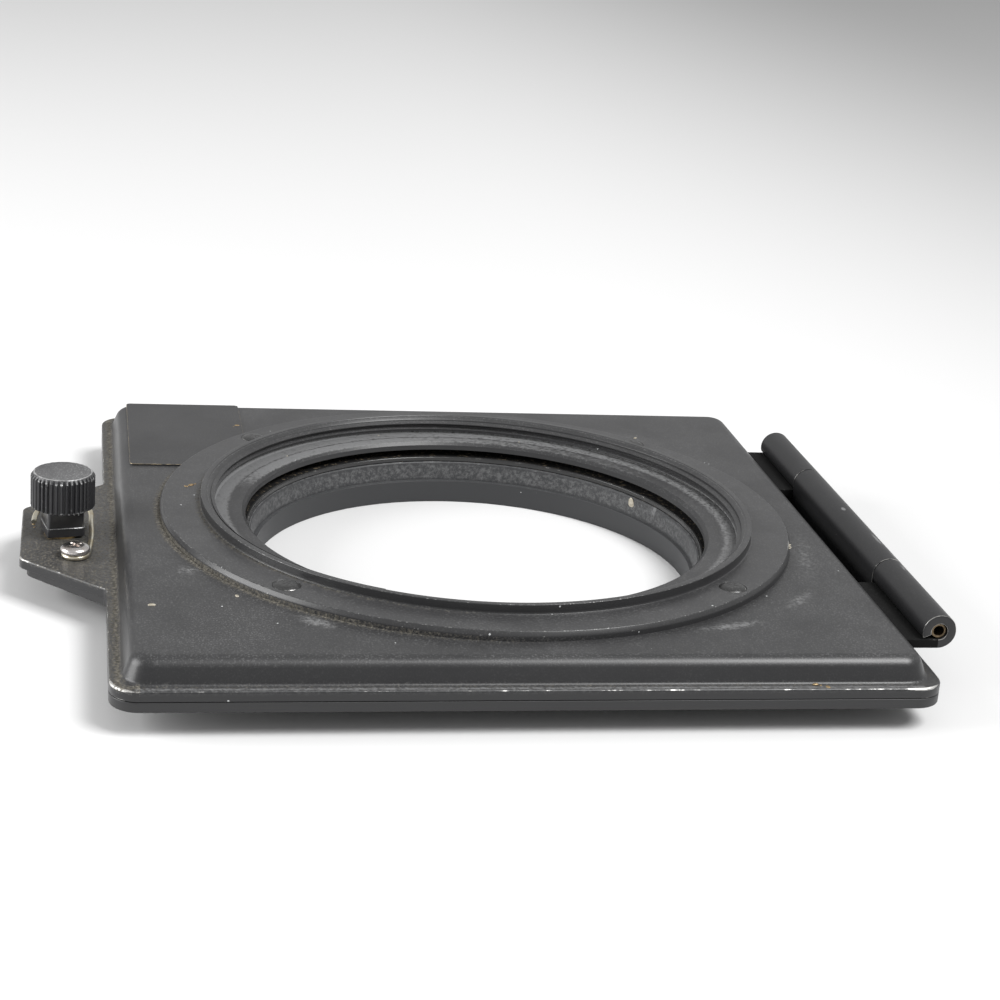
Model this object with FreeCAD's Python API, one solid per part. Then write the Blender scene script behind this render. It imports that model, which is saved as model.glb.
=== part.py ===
import FreeCAD, Part
import math
import os

# Hinged square filter holder, closed and lying on its lens thread.
# Millimetres. Z = 0 is the end of the lens thread and Z runs up along the light axis.
# X runs from the latch to the hinge, Y from the viewer's side to the back.
# A rear plate carries the lens ring. A pan-shaped front frame swings on it and carries
# the front ring, so a thin square filter is trapped between the two.

V = FreeCAD.Vector
Z_AXIS = V(0, 0, 1)
Y_AXIS = V(0, 1, 0)
ORIGIN = V(0, 0, 0)

# radii about the light axis, each step outward from the clear bore
LENS_BORE_R = 25.7
SEAT_STEP = 0.4
SEAT_FLARE = 0.2
LENS_THREAD_WALL = 1.8
THREAD_RELIEF = 0.3
LENS_FLANGE_W = 4.5
SEAL_SETBACK = 0.3
SEAL_W = 5.0
WINDOW_SETBACK = 0.4
WINDOW_LEDGE_W = 3.6
RIM_WALL = 1.6
FRONT_FLANGE_W = 4.65
EDGE_MARGIN = 6.15

# thicknesses and rises along the light axis, upward from the lens thread
THREAD_LENGTH = 2.75
PLATE_T = 1.1
SEAM_GAP = 0.05
FLANGE_T = 1.15
PANEL_RISE = 2.6
PANEL_SKIN = 1.0
LENS_FLANGE_T = 1.35
SEAL_T = 0.52
FRONT_FLANGE_T = 1.05
RIM_RISE = 1.1

# pan shape of the front frame
CORNER_R = 3.0
LEDGE_W = 1.6
WALL_T = 1.1
PANEL_R = 2.8
SHOULDER_R = 0.8
WINDOW_BEVEL = 0.4
EDGE_BREAK = 0.12

# ring screws
SCREW_R = 0.8
SCREW_HEAD_R = 1.5
SCREW_CLEAR = 0.05
SCREW_SUNK = 0.04
RING_SCREWS = 4

# filter: corner guides on the rear plate, springs under the panel
GUIDE_CLEAR = 1.1
GUIDE_T = 0.7
GUIDE_LEG = 9.0
GUIDE_H = 1.15
LEAF_SPRING_T = 0.2
LEAF_SPRING_W = 3.0
LEAF_SPRING_HALF = 17.0
LEAF_SPRING_FOOT = 5.0
LEAF_SPRING_SETBACK = 0.9
FILTER_GAP = 0.13

# hinge, rolled from sheet around a thin tube
PIN_R = 0.86
PIN_BORE_R = 0.58
PIN_CLEAR = 0.04
HINGE_SHEET = 1.02
HINGE_START_Y = -32.7
FRONT_KNUCKLE_L = 16.6
MIDDLE_KNUCKLE_L = 31.0
BACK_KNUCKLE_L = 14.9
KNUCKLE_GAP = 0.16
UPRIGHT_CLEAR = 0.63
TONGUE_ROOT = 2.0
LEAF_CLEAR = 0.05
ROLL_GAP = 0.14
PIN_SUNK = 0.25

# latch ear and what stands on it
EAR_REACH = 9.35
EAR_END_HALF = 8.0
EAR_ROOT_HALF = 16.8
EAR_CORNER_R = 1.2
EAR_ROOT_R = 1.0
REAR_EAR_INSET = 0.8
REAR_EAR_SIDE_INSET = 0.5
LATCH_OUT = 4.74
LATCH_TURN = 12.0
SPINDLE_R = 1.2
SPINDLE_CLEAR = 0.05
BUSH_WALL = 0.5
BUSH_LIP = 0.3
BUSH_LIP_T = 0.2
CAM_HALF = 2.15
CAM_STEP = 0.1
CAM_CORNER_R = 0.5
CAM_LIFT = 0.05
CAM_LOWER_H = 1.05
CAM_UPPER_H = 2.1
KNOB_R = 3.6
KNOB_H = 4.05
KNOB_FLUTES = 38
FLUTE_DEPTH = 0.28
KNOB_SKIN = 1.2
CLIP_W = 0.7
CLIP_T = 0.35
CLIP_CLEAR = 0.1
SLOT_CLEAR = 0.15
DOG_HALF_L = 3.6
DOG_HALF_W = 0.9
DOG_T = 0.9
DOG_CLEAR = 0.1
SPINDLE_TIP = 0.2
WIRE_R = 0.3
WIRE_CLEAR = 0.06
LATCH_SCREW_OFF = (1.44, -7.45)
PAN_HEAD_R = 1.65
PAN_HEAD_H = 0.85
LOOP_R = 1.25

# blank plate on the panel
LABEL_W = 14.5
LABEL_L = 24.0
LABEL_SIDE = 3.1
LABEL_BACK = 2.8
LABEL_T = 0.22
LABEL_R = 0.4

# radii that follow
SEAT_R = LENS_BORE_R + SEAT_STEP
SEAT_TOP_R = SEAT_R + SEAT_FLARE
LENS_THREAD_R = LENS_BORE_R + LENS_THREAD_WALL
REAR_HOLE_R = LENS_THREAD_R + 0.1
LENS_FLANGE_R = LENS_THREAD_R + LENS_FLANGE_W
SEAL_IN_R = SEAT_TOP_R + SEAL_SETBACK
SEAL_OUT_R = SEAL_IN_R + SEAL_W
WINDOW_R = SEAL_IN_R + WINDOW_SETBACK
FRONT_THREAD_R = WINDOW_R + WINDOW_LEDGE_W
RIM_R = FRONT_THREAD_R + RIM_WALL
FRONT_FLANGE_R = RIM_R + FRONT_FLANGE_W
HALF = FRONT_FLANGE_R + EDGE_MARGIN
WALL_OUT = HALF - LEDGE_W
WALL_IN = WALL_OUT - WALL_T
FRONT_SCREW_PCD_R = (RIM_R + FRONT_FLANGE_R) / 2
REAR_SCREW_PCD_R = (REAR_HOLE_R + LENS_FLANGE_R) / 2

# heights that follow
REAR_BOTTOM = THREAD_LENGTH
REAR_TOP = REAR_BOTTOM + PLATE_T
FLANGE_BOTTOM = REAR_TOP + SEAM_GAP
FLANGE_TOP = FLANGE_BOTTOM + FLANGE_T
PANEL_TOP = FLANGE_TOP + PANEL_RISE
PANEL_UNDER = PANEL_TOP - PANEL_SKIN
FRONT_FLANGE_TOP = PANEL_TOP + FRONT_FLANGE_T
RIM_TOP = FRONT_FLANGE_TOP + RIM_RISE
LENS_FLANGE_TOP = REAR_TOP + LENS_FLANGE_T
SEAL_TOP = LENS_FLANGE_TOP + SEAL_T

# hinge places that follow
KNUCKLE_R = PIN_R + PIN_CLEAR + HINGE_SHEET
HINGE_X = HALF + UPRIGHT_CLEAR + KNUCKLE_R
HINGE_Z = FLANGE_TOP + KNUCKLE_R
SEAM_Y1 = HINGE_START_Y + FRONT_KNUCKLE_L
SEAM_Y2 = SEAM_Y1 + MIDDLE_KNUCKLE_L
HINGE_END_Y = SEAM_Y2 + BACK_KNUCKLE_L

# latch places that follow
LATCH_X = -(HALF + LATCH_OUT)
EAR_END_X = -(HALF + EAR_REACH)
BUSH_BORE_R = SPINDLE_R + SPINDLE_CLEAR
BUSH_R = BUSH_BORE_R + BUSH_WALL
BUSH_TOP = FLANGE_TOP + BUSH_LIP_T
CAM_BOTTOM = BUSH_TOP + CAM_LIFT
CAM_MIDDLE = CAM_BOTTOM + CAM_LOWER_H
KNOB_BOTTOM = CAM_MIDDLE + CAM_UPPER_H
KNOB_TOP = KNOB_BOTTOM + KNOB_H
SPINDLE_TOP = KNOB_TOP - KNOB_SKIN
CLIP_R = SPINDLE_R + CLIP_W
CLIP_TOP = FLANGE_BOTTOM - CLIP_CLEAR
CLIP_BOTTOM = CLIP_TOP - CLIP_T
SLOT_HALF_W = CLIP_R + SLOT_CLEAR
SLOT_HALF_L = DOG_HALF_L + 0.4
DOG_TOP = REAR_BOTTOM - DOG_CLEAR
DOG_BOTTOM = DOG_TOP - DOG_T
SPINDLE_BOTTOM = DOG_BOTTOM - SPINDLE_TIP
LATCH_SCREW_X = LATCH_X + LATCH_SCREW_OFF[0]
LATCH_SCREW_Y = LATCH_SCREW_OFF[1]
WIRE_Z = FLANGE_TOP + WIRE_R + 0.02


def cylinder(r, z0, z1, x=0.0, y=0.0):
    return Part.makeCylinder(r, z1 - z0, V(x, y, z0), Z_AXIS)


def prism(points, z0, z1):
    corners = [V(x, y, z0) for x, y in points]
    outline = Part.makePolygon(corners + [corners[0]])
    return Part.Face(outline).extrude(V(0, 0, z1 - z0))


def turned(profile):
    # a solid of revolution about the light axis from (radius, height) points
    corners = [V(r, 0, z) for r, z in profile]
    outline = Part.makePolygon(corners + [corners[0]])
    return Part.Face(outline).revolve(ORIGIN, Z_AXIS, 360)


def flat_edges(shape, z):
    # the edges that lie in the plane at height z
    return [e for e in shape.Edges if abs(e.BoundBox.ZMin - z) + abs(e.BoundBox.ZMax - z) < 1e-3]


def upright_edges(shape):
    return [e for e in shape.Edges if e.BoundBox.ZLength > 0.5]


def square_plate(half, z0, z1, corner):
    box = Part.makeBox(2 * half, 2 * half, z1 - z0, V(-half, -half, z0))
    return box.makeFillet(corner, upright_edges(box))


def eared_plate(end_x, end_half, root_half, z0, z1):
    # a square plate with a trapezoid ear on its latch side
    points = [(-HALF, -HALF), (HALF, -HALF), (HALF, HALF), (-HALF, HALF),
              (-HALF, root_half), (end_x, end_half), (end_x, -end_half), (-HALF, -root_half)]
    plate = prism(points, z0, z1)
    groups = {CORNER_R: [], EAR_CORNER_R: [], EAR_ROOT_R: []}
    for edge in upright_edges(plate):
        at = edge.Vertexes[0].Point
        if abs(at.y) > HALF - 1e-3:
            groups[CORNER_R].append(edge)
        elif at.x < end_x + 1e-3:
            groups[EAR_CORNER_R].append(edge)
        else:
            groups[EAR_ROOT_R].append(edge)
    for radius in (CORNER_R, EAR_CORNER_R, EAR_ROOT_R):
        places = [e.Vertexes[0].Point for e in groups[radius]]
        edges = [e for e in upright_edges(plate)
                 if any(abs(e.Vertexes[0].X - p.x) + abs(e.Vertexes[0].Y - p.y) < 1e-3 for p in places)]
        plate = plate.makeFillet(radius, edges)
    return plate


def ring_of_places(radius, count, start):
    places = []
    for i in range(count):
        angle = math.radians(start + 360.0 * i / count)
        places.append((radius * math.cos(angle), radius * math.sin(angle)))
    return places


def cross_recess(shape, x, y, length, width, depth, top, turn):
    for quarter in (0, 90):
        arm = Part.makeBox(length, width, depth + 1, V(-length / 2, -width / 2, 0))
        arm.rotate(ORIGIN, Z_AXIS, turn + quarter)
        arm.translate(V(x, y, top - depth))
        shape = shape.cut(arm)
    return shape


def flat_head_screw(x, y, top, tip, turn):
    cone_h = SCREW_HEAD_R - SCREW_R
    head = Part.makeCone(SCREW_R, SCREW_HEAD_R, cone_h, V(x, y, top - cone_h), Z_AXIS)
    shank = cylinder(SCREW_R, tip, top - cone_h, x, y)
    screw = head.fuse(shank).removeSplitter()
    return cross_recess(screw, x, y, 1.7, 0.32, 0.22, top, turn)


def countersink(x, y, top, bottom):
    # the hole that a flat head drops into, wider than the screw by its clearance
    cone_h = SCREW_HEAD_R - SCREW_R
    hole_r = SCREW_R + SCREW_CLEAR
    cone = Part.makeCone(hole_r, SCREW_HEAD_R + SCREW_CLEAR, cone_h, V(x, y, top - cone_h), Z_AXIS)
    return cone.fuse(cylinder(hole_r, bottom, top, x, y))


def hinge_cylinder(r, y0, y1):
    return Part.makeCylinder(r, y1 - y0, V(HINGE_X, y0, HINGE_Z), Y_AXIS)


def bent_wire(points, radii):
    # straight runs joined by tangent arcs, for a sweep that any modeller can rebuild
    edges = []
    start = points[0]
    for i in range(1, len(points) - 1):
        corner = points[i]
        to_last = (points[i - 1] - corner).normalize()
        to_next = (points[i + 1] - corner).normalize()
        half_angle = to_last.getAngle(to_next) / 2
        setback = radii[i - 1] / math.tan(half_angle)
        first = corner + to_last * setback
        last = corner + to_next * setback
        inward = (to_last + to_next).normalize()
        centre = corner + inward * (radii[i - 1] / math.sin(half_angle))
        middle = centre - inward * radii[i - 1]
        edges.append(Part.LineSegment(start, first).toShape())
        edges.append(Part.Arc(first, middle, last).toShape())
        start = last
    edges.append(Part.LineSegment(start, points[-1]).toShape())
    return Part.Wire(edges)


# rear frame: flat plate and ear, with a tongue bent up and rolled into the middle knuckle

rear_frame = eared_plate(EAR_END_X + REAR_EAR_INSET, EAR_END_HALF - REAR_EAR_SIDE_INSET,
                         EAR_ROOT_HALF - REAR_EAR_SIDE_INSET, REAR_BOTTOM, REAR_TOP)
rear_frame = rear_frame.makeChamfer(EDGE_BREAK, flat_edges(rear_frame, REAR_TOP)
                                    + flat_edges(rear_frame, REAR_BOTTOM))
middle_y0 = SEAM_Y1 + KNUCKLE_GAP / 2
middle_y1 = SEAM_Y2 - KNUCKLE_GAP / 2
upright_x = HINGE_X - KNUCKLE_R
upright = Part.makeBox(HINGE_SHEET, middle_y1 - middle_y0, HINGE_Z - REAR_BOTTOM,
                       V(upright_x, middle_y0, REAR_BOTTOM))
foot_x = HALF - TONGUE_ROOT
foot = Part.makeBox(upright_x + HINGE_SHEET - foot_x, middle_y1 - middle_y0, PLATE_T,
                    V(foot_x, middle_y0, REAR_BOTTOM))
rear_frame = rear_frame.fuse([hinge_cylinder(KNUCKLE_R, middle_y0, middle_y1), upright, foot])
rear_frame = rear_frame.cut(hinge_cylinder(PIN_R, middle_y0 - 1, middle_y1 + 1))
rear_frame = rear_frame.cut(cylinder(REAR_HOLE_R, REAR_BOTTOM - 1, REAR_TOP + 1))
slot = Part.makeBox(2 * SLOT_HALF_W, 2 * SLOT_HALF_L, PLATE_T + 2,
                    V(LATCH_X - SLOT_HALF_W, -SLOT_HALF_L, REAR_BOTTOM - 1))
rear_frame = rear_frame.cut(slot)
rear_screw_places = ring_of_places(REAR_SCREW_PCD_R, RING_SCREWS, 45)
for x, y in rear_screw_places:
    rear_frame = rear_frame.cut(cylinder(SCREW_R, REAR_BOTTOM - 1, REAR_TOP + 1, x, y))

# four angles, welded to the rear plate, that keep the filter's corners in place

parts = {}
guide_out = WALL_IN - GUIDE_CLEAR
guide_in = guide_out - GUIDE_T
guide_end = guide_out - GUIDE_LEG
guide_outline = [(guide_out, guide_out), (guide_end, guide_out), (guide_end, guide_in),
                 (guide_in, guide_in), (guide_in, guide_end), (guide_out, guide_end)]
for i, (sx, sy) in enumerate(((-1, -1), (1, -1), (1, 1), (-1, 1))):
    outline = [(sx * x, sy * y) for x, y in guide_outline]
    parts["filter_guide_" + str(i + 1)] = prism(outline, REAR_TOP, REAR_TOP + GUIDE_H)

# rear ring: lens thread below, stepped bore, and a flange that sits on the plate

rear_ring = turned([(LENS_BORE_R, 0), (LENS_THREAD_R, 0),
                    (LENS_THREAD_R, REAR_BOTTOM - 0.1), (LENS_THREAD_R - THREAD_RELIEF, REAR_BOTTOM - 0.1),
                    (LENS_THREAD_R - THREAD_RELIEF, REAR_TOP), (LENS_FLANGE_R, REAR_TOP),
                    (LENS_FLANGE_R, LENS_FLANGE_TOP), (SEAT_TOP_R, LENS_FLANGE_TOP),
                    (SEAT_R, THREAD_LENGTH + 0.09), (LENS_BORE_R, THREAD_LENGTH + 0.09)])
rear_screws = []
for x, y in rear_screw_places:
    rear_ring = rear_ring.cut(countersink(x, y, LENS_FLANGE_TOP, REAR_TOP - 1))
    rear_screws.append(flat_head_screw(x, y, LENS_FLANGE_TOP - SCREW_SUNK, REAR_BOTTOM + 0.05, 15))
rear_ring_screws = Part.makeCompound(rear_screws)

light_seal = turned([(SEAL_IN_R, LENS_FLANGE_TOP), (SEAL_OUT_R, LENS_FLANGE_TOP),
                     (SEAL_OUT_R, SEAL_TOP), (SEAL_IN_R, SEAL_TOP)])

# hinge pin: a thin tube, tight in the middle knuckle and running in the two others

pin_y0 = HINGE_START_Y + PIN_SUNK
pin_y1 = HINGE_END_Y - PIN_SUNK
hinge_pin = hinge_cylinder(PIN_R, pin_y0, pin_y1).cut(hinge_cylinder(PIN_BORE_R, pin_y0 - 1, pin_y1 + 1))

# front frame: a shallow pan with a flange and the latch ear

panel = square_plate(WALL_OUT, FLANGE_BOTTOM, PANEL_TOP, PANEL_R)
panel = panel.makeFillet(SHOULDER_R, flat_edges(panel, PANEL_TOP))
flange = eared_plate(EAR_END_X, EAR_END_HALF, EAR_ROOT_HALF, FLANGE_BOTTOM, FLANGE_TOP)
flange = flange.makeChamfer(EDGE_BREAK, flat_edges(flange, FLANGE_TOP) + flat_edges(flange, FLANGE_BOTTOM))
front_frame = flange.fuse(panel)
front_frame = front_frame.cut(square_plate(WALL_IN, FLANGE_BOTTOM - 1, PANEL_UNDER, PANEL_R - WALL_T))
front_frame = front_frame.cut(turned([
    (0, PANEL_UNDER - 1), (WINDOW_R, PANEL_UNDER - 1), (WINDOW_R, PANEL_TOP - WINDOW_BEVEL),
    (WINDOW_R + WINDOW_BEVEL, PANEL_TOP), (WINDOW_R + WINDOW_BEVEL, PANEL_TOP + 1), (0, PANEL_TOP + 1)]))
front_screw_places = ring_of_places(FRONT_SCREW_PCD_R, RING_SCREWS, 45)
for x, y in front_screw_places:
    front_frame = front_frame.cut(cylinder(SCREW_R, PANEL_UNDER - 1, PANEL_TOP + 1, x, y))
front_frame = front_frame.cut(cylinder(BUSH_R, FLANGE_BOTTOM - 1, FLANGE_TOP + 1, LATCH_X, 0))
front_frame = front_frame.cut(
    cylinder(SCREW_R, FLANGE_BOTTOM - 1, FLANGE_TOP + 1, LATCH_SCREW_X, LATCH_SCREW_Y))

# two strips of sheet on the flange, each rolled into an outer knuckle


def hinge_leaf(y0, y1):
    leaf_x = WALL_OUT + LEAF_CLEAR
    leaf = Part.makeBox(HINGE_X - leaf_x, y1 - y0, HINGE_SHEET, V(leaf_x, y0, FLANGE_TOP))
    leaf = leaf.fuse(hinge_cylinder(KNUCKLE_R, y0, y1))
    leaf = leaf.cut(hinge_cylinder(PIN_R + PIN_CLEAR, y0 - 1, y1 + 1))
    # where the rolled end comes back down to the flat of the strip
    joint = Part.makeBox(KNUCKLE_R, y1 - y0 + 2, ROLL_GAP,
                         V(HINGE_X - KNUCKLE_R - 0.3, y0 - 1, FLANGE_TOP + HINGE_SHEET))
    return leaf.cut(joint)


hinge_leaf_front = hinge_leaf(HINGE_START_Y, SEAM_Y1 - KNUCKLE_GAP / 2)
hinge_leaf_back = hinge_leaf(SEAM_Y2 + KNUCKLE_GAP / 2, HINGE_END_Y)

# front ring: flange, threaded rim, countersunk holes and their screws

front_ring = turned([(FRONT_THREAD_R, PANEL_TOP), (FRONT_FLANGE_R, PANEL_TOP),
                     (FRONT_FLANGE_R, FRONT_FLANGE_TOP - 0.2), (FRONT_FLANGE_R - 0.2, FRONT_FLANGE_TOP),
                     (RIM_R, FRONT_FLANGE_TOP), (RIM_R, RIM_TOP - 0.1), (RIM_R - 0.1, RIM_TOP),
                     (FRONT_THREAD_R + 0.3, RIM_TOP - 0.03), (FRONT_THREAD_R, RIM_TOP - 0.33)])
front_screws = []
for i, (x, y) in enumerate(front_screw_places):
    front_ring = front_ring.cut(countersink(x, y, FRONT_FLANGE_TOP, PANEL_TOP - 1))
    front_screws.append(flat_head_screw(x, y, FRONT_FLANGE_TOP - SCREW_SUNK, PANEL_UNDER + 0.1, 20 * i))
front_ring_screws = Part.makeCompound(front_screws)

# blank plate at the back corner of the panel on the latch side, cut to the ring's curve

label_x0 = -HALF + LABEL_SIDE
label_y1 = HALF - LABEL_BACK
label_plate = Part.makeBox(LABEL_W, LABEL_L, LABEL_T, V(label_x0, label_y1 - LABEL_L, PANEL_TOP))
label_plate = label_plate.makeFillet(LABEL_R, [e for e in label_plate.Edges
                                               if e.BoundBox.ZLength > LABEL_T / 2])
label_plate = label_plate.cut(cylinder(FRONT_FLANGE_R + 0.1, PANEL_TOP - 1, PANEL_TOP + 2))

# two bowed leaves, welded under the panel, that hold the filter down on the seal


def filter_spring(side):
    middle_x = side * (WINDOW_R + LEAF_SPRING_SETBACK + LEAF_SPRING_W / 2)
    shoulder = LEAF_SPRING_HALF - LEAF_SPRING_FOOT
    lowest = SEAL_TOP + FILTER_GAP + LEAF_SPRING_T
    upper = [(-LEAF_SPRING_HALF, PANEL_UNDER), (-shoulder, PANEL_UNDER), (0, lowest),
             (shoulder, PANEL_UNDER), (LEAF_SPRING_HALF, PANEL_UNDER)]
    lower = [(y, z - LEAF_SPRING_T) for y, z in reversed(upper)]
    corners = [V(middle_x - LEAF_SPRING_W / 2, y, z) for y, z in upper + lower]
    outline = Part.makePolygon(corners + [corners[0]])
    return Part.Face(outline).extrude(V(LEAF_SPRING_W, 0, 0))


filter_spring_left = filter_spring(-1)
filter_spring_right = filter_spring(1)

# latch: lipped bush, square cam, fluted knob and spindle, with a cross dog below the ear

latch_bush = cylinder(BUSH_R + BUSH_LIP, FLANGE_TOP, BUSH_TOP, LATCH_X, 0)
latch_bush = latch_bush.fuse(cylinder(BUSH_R, FLANGE_BOTTOM, FLANGE_TOP, LATCH_X, 0)).removeSplitter()
latch_bush = latch_bush.cut(cylinder(BUSH_BORE_R, FLANGE_BOTTOM - 1, BUSH_TOP + 1, LATCH_X, 0))


def on_spindle(shape):
    # from the axis to the latch's place, turned as far as the knob stands in the rest pose
    shape.rotate(ORIGIN, Z_AXIS, LATCH_TURN)
    shape.translate(V(LATCH_X, 0, 0))
    return shape


def square_block(half, z0, z1):
    block = Part.makeBox(2 * half, 2 * half, z1 - z0, V(-half, -half, z0))
    return block.makeFillet(CAM_CORNER_R, upright_edges(block))


latch_cam = square_block(CAM_HALF, CAM_BOTTOM, CAM_MIDDLE)
latch_cam = latch_cam.fuse(square_block(CAM_HALF - CAM_STEP, CAM_MIDDLE, KNOB_BOTTOM))
latch_cam = on_spindle(latch_cam.cut(cylinder(SPINDLE_R, CAM_BOTTOM - 1, KNOB_BOTTOM + 1)))

flutes = []
root_r = KNOB_R - FLUTE_DEPTH
for i in range(KNOB_FLUTES):
    for share, radius in ((-0.27, KNOB_R), (0.27, KNOB_R), (0.44, root_r), (0.56, root_r)):
        angle = 2 * math.pi * (i + share) / KNOB_FLUTES
        flutes.append((radius * math.cos(angle), radius * math.sin(angle)))
knob_shape = turned([(0, KNOB_BOTTOM), (KNOB_R - 0.15, KNOB_BOTTOM), (KNOB_R + 0.1, KNOB_BOTTOM + 0.25),
                     (KNOB_R + 0.1, KNOB_TOP - 0.42), (KNOB_R - 0.32, KNOB_TOP), (0, KNOB_TOP)])
latch_knob = prism(flutes, KNOB_BOTTOM, KNOB_TOP).common(knob_shape)
latch_knob = on_spindle(latch_knob.cut(cylinder(SPINDLE_R, KNOB_BOTTOM - 1, SPINDLE_TOP)))

groove = cylinder(CLIP_R, CLIP_BOTTOM, CLIP_TOP).cut(cylinder(SPINDLE_R - 0.25, CLIP_BOTTOM, CLIP_TOP))
latch_spindle = on_spindle(cylinder(SPINDLE_R, SPINDLE_BOTTOM, SPINDLE_TOP).cut(groove))
clip_mouth = Part.makeBox(CLIP_R + 1, 0.9, CLIP_T + 1, V(0, -0.45, CLIP_BOTTOM - 0.5))
latch_clip = on_spindle(groove.cut(clip_mouth))

latch_dog = Part.makeBox(2 * DOG_HALF_W, 2 * DOG_HALF_L, DOG_T, V(-DOG_HALF_W, -DOG_HALF_L, DOG_BOTTOM))
latch_dog = latch_dog.makeFillet(0.5, upright_edges(latch_dog))
latch_dog = latch_dog.fuse(cylinder(SPINDLE_R + 0.5, DOG_BOTTOM, DOG_TOP))
latch_dog = on_spindle(latch_dog.cut(cylinder(SPINDLE_R, DOG_BOTTOM - 1, DOG_TOP + 1)))

# wire spring: a loop under the screw, a leg along the cam, round behind it, and a hooked end

cam_swing_r = (CAM_HALF - CAM_CORNER_R) * math.sqrt(2) + CAM_CORNER_R
leg_x = LATCH_X + cam_swing_r + WIRE_R + WIRE_CLEAR
back_y = cam_swing_r + WIRE_R + 1.9
loop_x0 = LATCH_SCREW_X - LOOP_R
loop_x1 = LATCH_SCREW_X + LOOP_R
loop_y0 = LATCH_SCREW_Y - LOOP_R
loop_y1 = LATCH_SCREW_Y + LOOP_R
route = [V(LATCH_SCREW_X + 0.6, loop_y1, WIRE_Z), V(loop_x0, loop_y1, WIRE_Z), V(loop_x0, loop_y0, WIRE_Z),
         V(loop_x1 + 0.1, loop_y0, WIRE_Z), V(leg_x - 0.1, -5.2, WIRE_Z),
         V(leg_x + 0.1, -2.6, WIRE_Z + 0.38), V(leg_x, 0.2, WIRE_Z + 0.88),
         V(leg_x + 0.05, 2.9, WIRE_Z + 1.25), V(leg_x - 0.85, back_y - 0.5, WIRE_Z + 1.38),
         V(LATCH_X, back_y, WIRE_Z + 1.43), V(LATCH_X - 2.3, back_y - 0.8, WIRE_Z + 1.38),
         V(LATCH_X - 3.25, 2.4, WIRE_Z + 1.18), V(LATCH_X - 3.76, 1.3, WIRE_Z + 1.03)]
bends = [1.2, 1.2, 1.2, 6.0, 6.0, 6.0, 1.5, 1.5, 2.5, 1.5, 1.5]
spine = bent_wire(route, bends)
section = Part.Wire([Part.makeCircle(WIRE_R, route[0], (route[1] - route[0]).normalize())])
latch_spring = spine.makePipeShell([section], True, False)

pan_bottom = WIRE_Z + WIRE_R + 0.03
pan_top = pan_bottom + PAN_HEAD_H
latch_screw = cylinder(PAN_HEAD_R, pan_bottom, pan_top, LATCH_SCREW_X, LATCH_SCREW_Y)
latch_screw = latch_screw.makeFillet(0.5, flat_edges(latch_screw, pan_top))
latch_screw = latch_screw.fuse(cylinder(SCREW_R, FLANGE_BOTTOM, pan_bottom, LATCH_SCREW_X, LATCH_SCREW_Y))
latch_screw = cross_recess(latch_screw, LATCH_SCREW_X, LATCH_SCREW_Y, 2.0, 0.42, 0.5, pan_top, 35)

parts.update({
    "rear_frame": rear_frame,
    "rear_ring": rear_ring,
    "rear_ring_screws": rear_ring_screws,
    "light_seal": light_seal,
    "hinge_pin": hinge_pin,
    "front_frame": front_frame,
    "hinge_leaf_front": hinge_leaf_front,
    "hinge_leaf_back": hinge_leaf_back,
    "front_ring": front_ring,
    "front_ring_screws": front_ring_screws,
    "label_plate": label_plate,
    "filter_spring_left": filter_spring_left,
    "filter_spring_right": filter_spring_right,
    "latch_bush": latch_bush,
    "latch_spring": latch_spring,
    "latch_screw": latch_screw,
    "latch_knob": latch_knob,
    "latch_cam": latch_cam,
    "latch_spindle": latch_spindle,
    "latch_clip": latch_clip,
    "latch_dog": latch_dog,
})

os.makedirs("parts", exist_ok=True)
for name, shape in parts.items():
    shape.exportStep("parts/" + name + ".step")
    box = shape.BoundBox
    print(name, len(shape.Solids), "solids", round(shape.Volume, 2), "mm3", shape.isValid(),
          "x", round(box.XMin, 2), round(box.XMax, 2), "y", round(box.YMin, 2), round(box.YMax, 2),
          "z", round(box.ZMin, 2), round(box.ZMax, 2))
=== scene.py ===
# %% [markdown]
# # A hinged holder for square gelatin filters
# This lesson dresses a finished engineering model. The model already says where every piece is
# and how it moves. Blender gives it rounded edges, rolled sheet, cut threads, paint, dust and wear.
# The first lines load the model, and nothing else is read from disk.

# %% Load the frame
import math

import bmesh
import bpy
from mathutils import Matrix, Vector


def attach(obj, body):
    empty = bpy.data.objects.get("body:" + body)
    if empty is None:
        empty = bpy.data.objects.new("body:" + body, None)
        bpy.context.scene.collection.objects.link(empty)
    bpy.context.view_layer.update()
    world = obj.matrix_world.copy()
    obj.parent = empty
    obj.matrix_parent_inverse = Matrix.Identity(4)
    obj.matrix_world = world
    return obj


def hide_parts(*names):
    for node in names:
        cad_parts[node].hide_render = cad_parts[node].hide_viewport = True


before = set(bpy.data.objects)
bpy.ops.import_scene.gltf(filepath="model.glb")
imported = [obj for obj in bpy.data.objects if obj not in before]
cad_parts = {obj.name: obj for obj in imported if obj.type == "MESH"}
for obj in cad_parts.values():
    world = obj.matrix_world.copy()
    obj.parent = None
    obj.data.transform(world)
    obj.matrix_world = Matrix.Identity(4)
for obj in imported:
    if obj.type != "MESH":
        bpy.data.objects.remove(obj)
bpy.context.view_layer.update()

# %% [markdown]
# ## Sizes
# Shapes are drawn in millimetres, because a 0.1 mm edge is easier to read than 0.0001 m, and each
# finished mesh is scaled to metres once. Z = 0 is the surface that the holder stands on, and the
# Z axis is the lens axis. These are the heights of the sheets and rings, from the bottom up.

# %% Sizes
MM = 0.001
HALF = 43.0
CORNER_R = 3.0
REAR_BOTTOM = 2.75
REAR_TOP = 3.85
FLANGE_BOTTOM = 3.90
FLANGE_TOP = 5.05
PANEL_UNDER = 6.65
PANEL_TOP = 7.65
RING_TOP = 8.70
RIM_TOP = 9.80
WALL_OUT = 41.4
WALL_IN = 40.3
WINDOW_R = 27.0

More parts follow.
